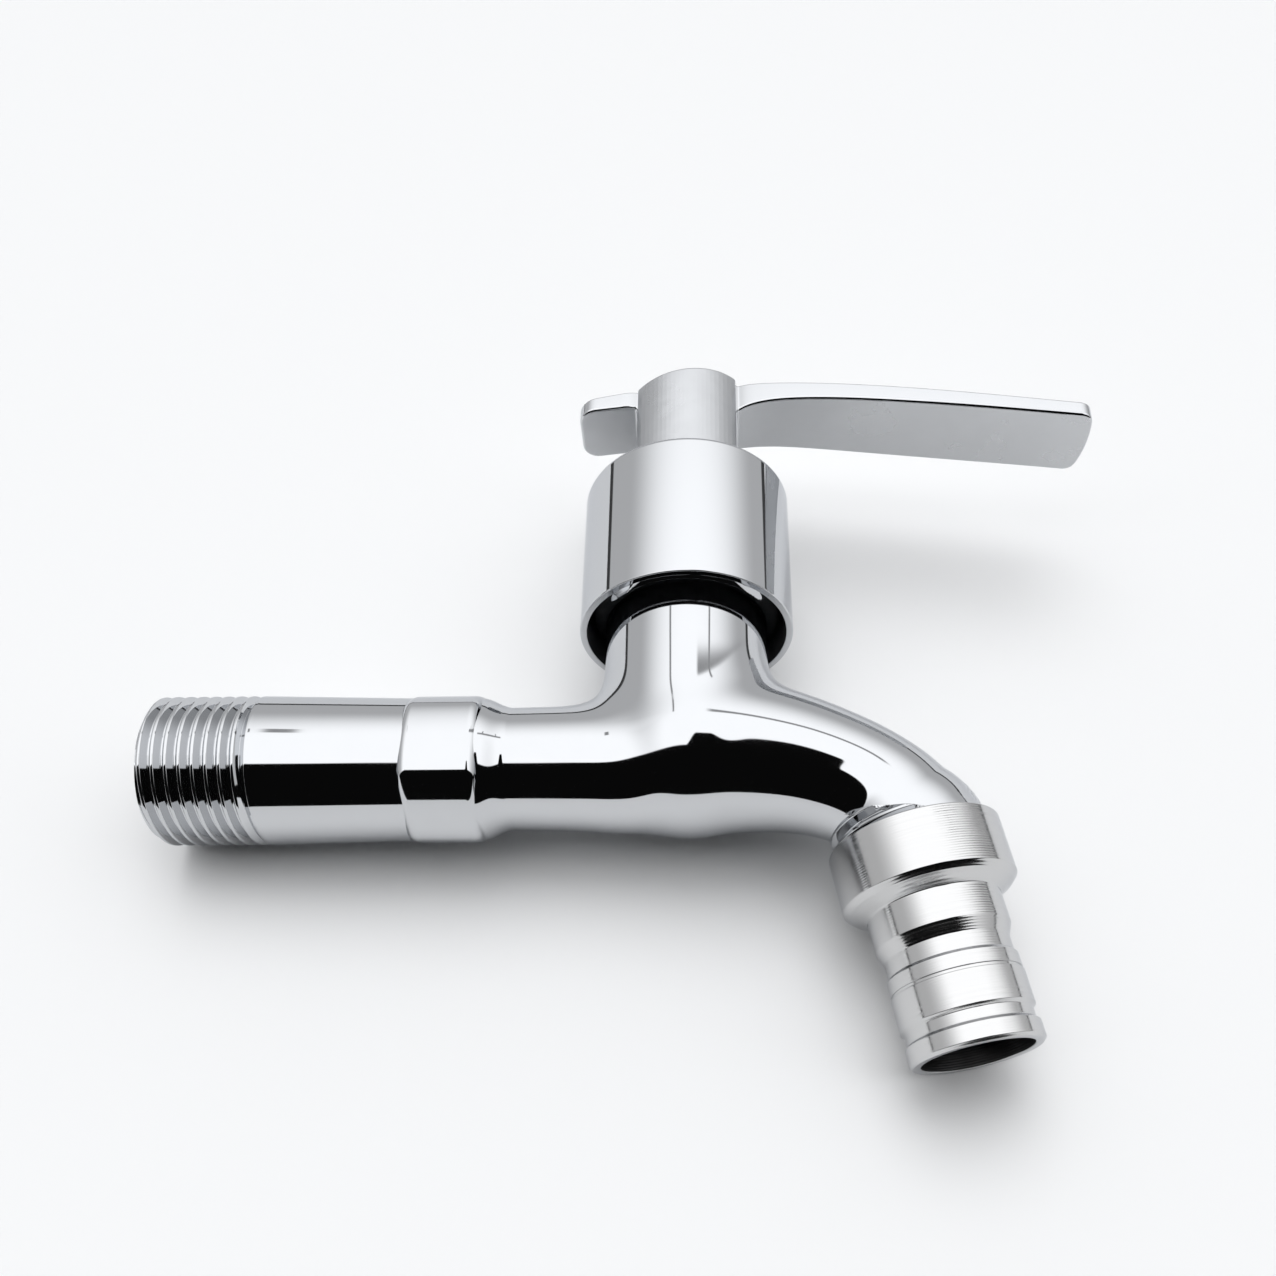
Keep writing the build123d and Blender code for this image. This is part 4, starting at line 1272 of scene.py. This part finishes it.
class TAP_OT_inner_parts(bpy.types.Operator):
    """Give the headwork's inner parts, the screw, washers and seals their finishes"""

    bl_idname = "tap.inner_parts"
    bl_label = "Inner parts"

    def execute(self, context):
        finishes = {
            "headwork_housing": "brass_turned",
            "housing_gasket": "fibre_red",
            "spindle": "brass_turned",
            "spindle_o_ring_lower": "rubber_black",
            "spindle_o_ring_upper": "rubber_black",
            "thrust_washer": "plastic_white",
            "spindle_clip": "zinc_plated",
            "moving_disc": "ceramic_white",
            "fixed_disc": "ceramic_white",
            "seat_seal": "rubber_black",
            "seal_support": "plastic_white",
            "handle_screw": "zinc_plated",
            "screw_washer": "zinc_plated",
            "nozzle_washer": "rubber_black",
        }
        for node, finish in finishes.items():
            dress(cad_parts[node], finish)
        return {"FINISHED"}


class TAP_OT_stage(bpy.types.Operator):
    """Make the pale floor that the tap lies on, the soft light and the camera"""

    bl_idname = "tap.stage"
    bl_label = "Floor, light and camera"

    def execute(self, context):
        self.make_floor(context.scene.tap_finishes)
        self.make_world(context.scene)
        self.make_lamp(context.scene)
        self.make_camera(context.scene)
        return {"FINISHED"}

    def make_floor(self, colours):
        """Floor: the plane that the inlet's end, the cover's rim and the nozzle's lip rest on. From
        behind it is clear."""
        size = 1500.0
        corners = np.array([(-size, -size), (size, -size), (size, size), (-size, size)])
        depth = FLOOR_Y + corners @ [FLOOR_ALONG, FLOOR_UP]
        points = np.column_stack([corners[:, 0], depth, corners[:, 1]])
        mesh = bpy.data.meshes.new("pale_floor")
        mesh.from_pydata((points * MM).tolist(), [], [(0, 1, 2, 3)])
        floor = bpy.data.objects.new("pale_floor", mesh)
        bpy.context.scene.collection.objects.link(floor)
        material, shader = empty_material("floor_white", colours.floor, 0.0, 0.7)
        tree = material.node_tree
        clear = tree.nodes.new("ShaderNodeBsdfTransparent")
        facing = tree.nodes.new("ShaderNodeNewGeometry")
        mix = add_node(tree, "ShaderNodeMixShader", {
            "Fac": facing.outputs["Backfacing"], 1: shader.outputs["BSDF"], 2: clear.outputs["BSDF"]
        })
        tree.links.new(mix.outputs["Shader"], tree.nodes["Material Output"].inputs["Surface"])
        mesh.materials.append(material)

    def make_world(self, scene):
        """World: its strength is a function of the direction. Towards the front it rises smoothly
        from grey walls to a broad bright window with thin bars. Low in front the room is dark, and so
        is what lies behind the floor. The camera itself sees an even pale ground."""
        world = bpy.data.worlds.new("soft_room")
        scene.world = world
        world.use_nodes = True
        tree = world.node_tree
        place = tree.nodes.new("ShaderNodeTexCoord").outputs["Generated"]
        parts = add_node(tree, "ShaderNodeSeparateXYZ", {"Vector": place})

        def ranged(value, low, high, start, end):
            node = add_node(tree, "ShaderNodeMapRange", {
                "Value": value, "From Min": low, "From Max": high, "To Min": start, "To Max": end
            }, interpolation_type="SMOOTHSTEP")
            return node.outputs["Result"]

        def combined(operation, *values):
            node = add_node(tree, "ShaderNodeMath", dict(enumerate(values)), operation=operation)
            return node.outputs["Value"]

        def product(first, *others):
            for other in others:
                first = combined("MULTIPLY", first, other)
            return first

        def line(value, at, half):
            rise = ranged(value, at - half, at - half * 0.4, 0, 1)
            return combined("ADD", rise, ranged(value, at + half * 0.4, at + half, 0, -1))

        # Walls and window: brightest to the front and a little to the right, weaker low and aside
        side, height = parts.outputs["X"], parts.outputs["Z"]
        front = product(parts.outputs["Y"], -1.0)
        aside = combined("ABSOLUTE", side)
        towards = combined("ADD", front, product(side, 0.12))
        pane = combined(
            "MAXIMUM", ranged(aside, 0.45, 0.95, 1, 0.45), ranged(height, 0.0, 0.5, 0.45, 1)
        )
        room = combined("ADD", product(ranged(towards, 0.22, 0.84, 0.0, 1.0), pane), 0.62)

        # Bars of the window: two upright ones, and a level one on the right
        upright = product(
            combined("MAXIMUM", line(side, -0.30, 0.024), line(side, 0.45, 0.02)),
            ranged(height, 0.59, 0.605, 1, 0),
            ranged(height, 0.5, 0.52, 0, 1),
            ranged(front, 0.5, 0.6, 0, 1),
        )
        level = product(line(height, 0.53, 0.03), ranged(side, 0.2, 0.26, 0, 1))
        bars = product(combined("MAXIMUM", upright, level), 0.75)

        # Dark parts: behind the floor, and low in front, higher just right of the middle
        floor_normal = np.array([FLOOR_ALONG, -1.0, FLOOR_UP])
        floor_normal /= np.linalg.norm(floor_normal)
        over_floor = add_node(
            tree, "ShaderNodeVectorMath", {0: place, 1: tuple(floor_normal)}, operation="DOT_PRODUCT"
        ).outputs["Value"]
        bump = combined(
            "ADD", ranged(side, 0.0, 0.14, 0, 0.28), ranged(side, 0.26, 0.42, 0, -0.28)
        )
        low = ranged(combined("SUBTRACT", height, bump), -0.29, -0.26, 1, 0)
        dark = product(low, ranged(front, -0.03, 0.0, 0, 1))
        light = product(
            room,
            combined("SUBTRACT", 1.0, bars),
            ranged(over_floor, 0.045, 0.06, 0.1, 1),
            combined("SUBTRACT", 1.0, dark),
        )

        # The camera sees a ground of its own
        view = tree.nodes.new("ShaderNodeLightPath")
        choose = add_node(tree, "ShaderNodeMix", {
            "Factor": view.outputs["Is Camera Ray"], "A": combined("ADD", light, 0.004), "B": 0.96
        }, data_type="FLOAT")
        background = tree.nodes["Background"]
        tree.links.new(choose.outputs["Result"], background.inputs["Strength"])
        background.inputs["Color"].default_value = (0.985, 0.99, 1.0, 1)

    def make_lamp(self, scene):
        """Lamp: broad and soft, from the front and above, for the shadows on the floor."""
        lamp = bpy.data.lights.new("soft_lamp", "SUN")
        lamp.energy = 0.8
        lamp.angle = math.radians(44)
        holder = bpy.data.objects.new("soft_lamp", lamp)
        holder.rotation_mode = "QUATERNION"
        holder.rotation_quaternion = Vector((0.03, 1.0, -0.7)).to_track_quat("-Z", "Y")
        holder.visible_glossy = False
        scene.collection.objects.link(holder)

    def make_camera(self, scene):
        """Camera: below the tap's front and tilted up, at arm's length, with its picture shifted
        upwards. Its focal length and shift are pixels of the picture."""
        picture, focal_length, middle_row = 1276, 1148.74, 850.5
        camera = bpy.data.cameras.new("camera")
        camera.sensor_width = 36
        camera.lens = camera.sensor_width * focal_length / picture
        camera.shift_y = (middle_row - picture / 2) / picture
        camera.clip_start, camera.clip_end = 0.01, 20
        holder = bpy.data.objects.new("camera", camera)
        right = Vector((0.99847548, 0.05165765, 0.01944749))
        down = Vector((-0.00286791, 0.40040417, -0.91633415))
        forward = Vector((-0.05512252, 0.91488141, 0.39994189))
        turn = Matrix((right, -down, -forward)).transposed().to_4x4()
        holder.matrix_world = Matrix.Translation((0.075613, -0.140975, -0.074007)) @ turn
        scene.collection.objects.link(holder)
        scene.camera = holder


OPERATORS = (
    TAP_OT_casting,
    TAP_OT_shank,
    TAP_OT_wrench_section,
    TAP_OT_spigot,
    TAP_OT_cover,
    TAP_OT_nozzle,
    TAP_OT_handle,
    TAP_OT_cap,
    TAP_OT_inner_parts,
    TAP_OT_stage,
)


class TAP_PT_panel(bpy.types.Panel):
    """Lists the tap's pieces and their sizes"""

    bl_idname = "TAP_PT_panel"
    bl_label = "Washing machine tap"
    bl_space_type = "VIEW_3D"
    bl_region_type = "UI"
    bl_category = "Tap"

    def draw(self, context):
        for name, group in GROUPS.items():
            box = self.layout.box()
            for field in group.__annotations__:
                box.prop(getattr(context.scene, name), field)
        for operator in OPERATORS:
            self.layout.operator(operator.bl_idname)


def register():
    for group in GROUPS.values():
        bpy.utils.register_class(group)
    for name, group in GROUPS.items():
        setattr(bpy.types.Scene, name, bpy.props.PointerProperty(type=group))
    for item in (*OPERATORS, TAP_PT_panel):
        bpy.utils.register_class(item)


def unregister():
    for item in (TAP_PT_panel, *reversed(OPERATORS)):
        bpy.utils.unregister_class(item)
    for name in GROUPS:
        delattr(bpy.types.Scene, name)
    for group in GROUPS.values():
        bpy.utils.unregister_class(group)


def main():
    register()
    bpy.context.scene.view_settings.view_transform = "Standard"
    bpy.ops.tap.casting()
    bpy.ops.tap.shank()
    bpy.ops.tap.wrench_section()
    bpy.ops.tap.spigot()
    bpy.ops.tap.cover()
    bpy.ops.tap.nozzle()
    bpy.ops.tap.handle()
    bpy.ops.tap.cap()
    bpy.ops.tap.inner_parts()
    bpy.ops.tap.stage()
    bpy.context.view_layer.update()


if __name__ == "__main__":
    main()
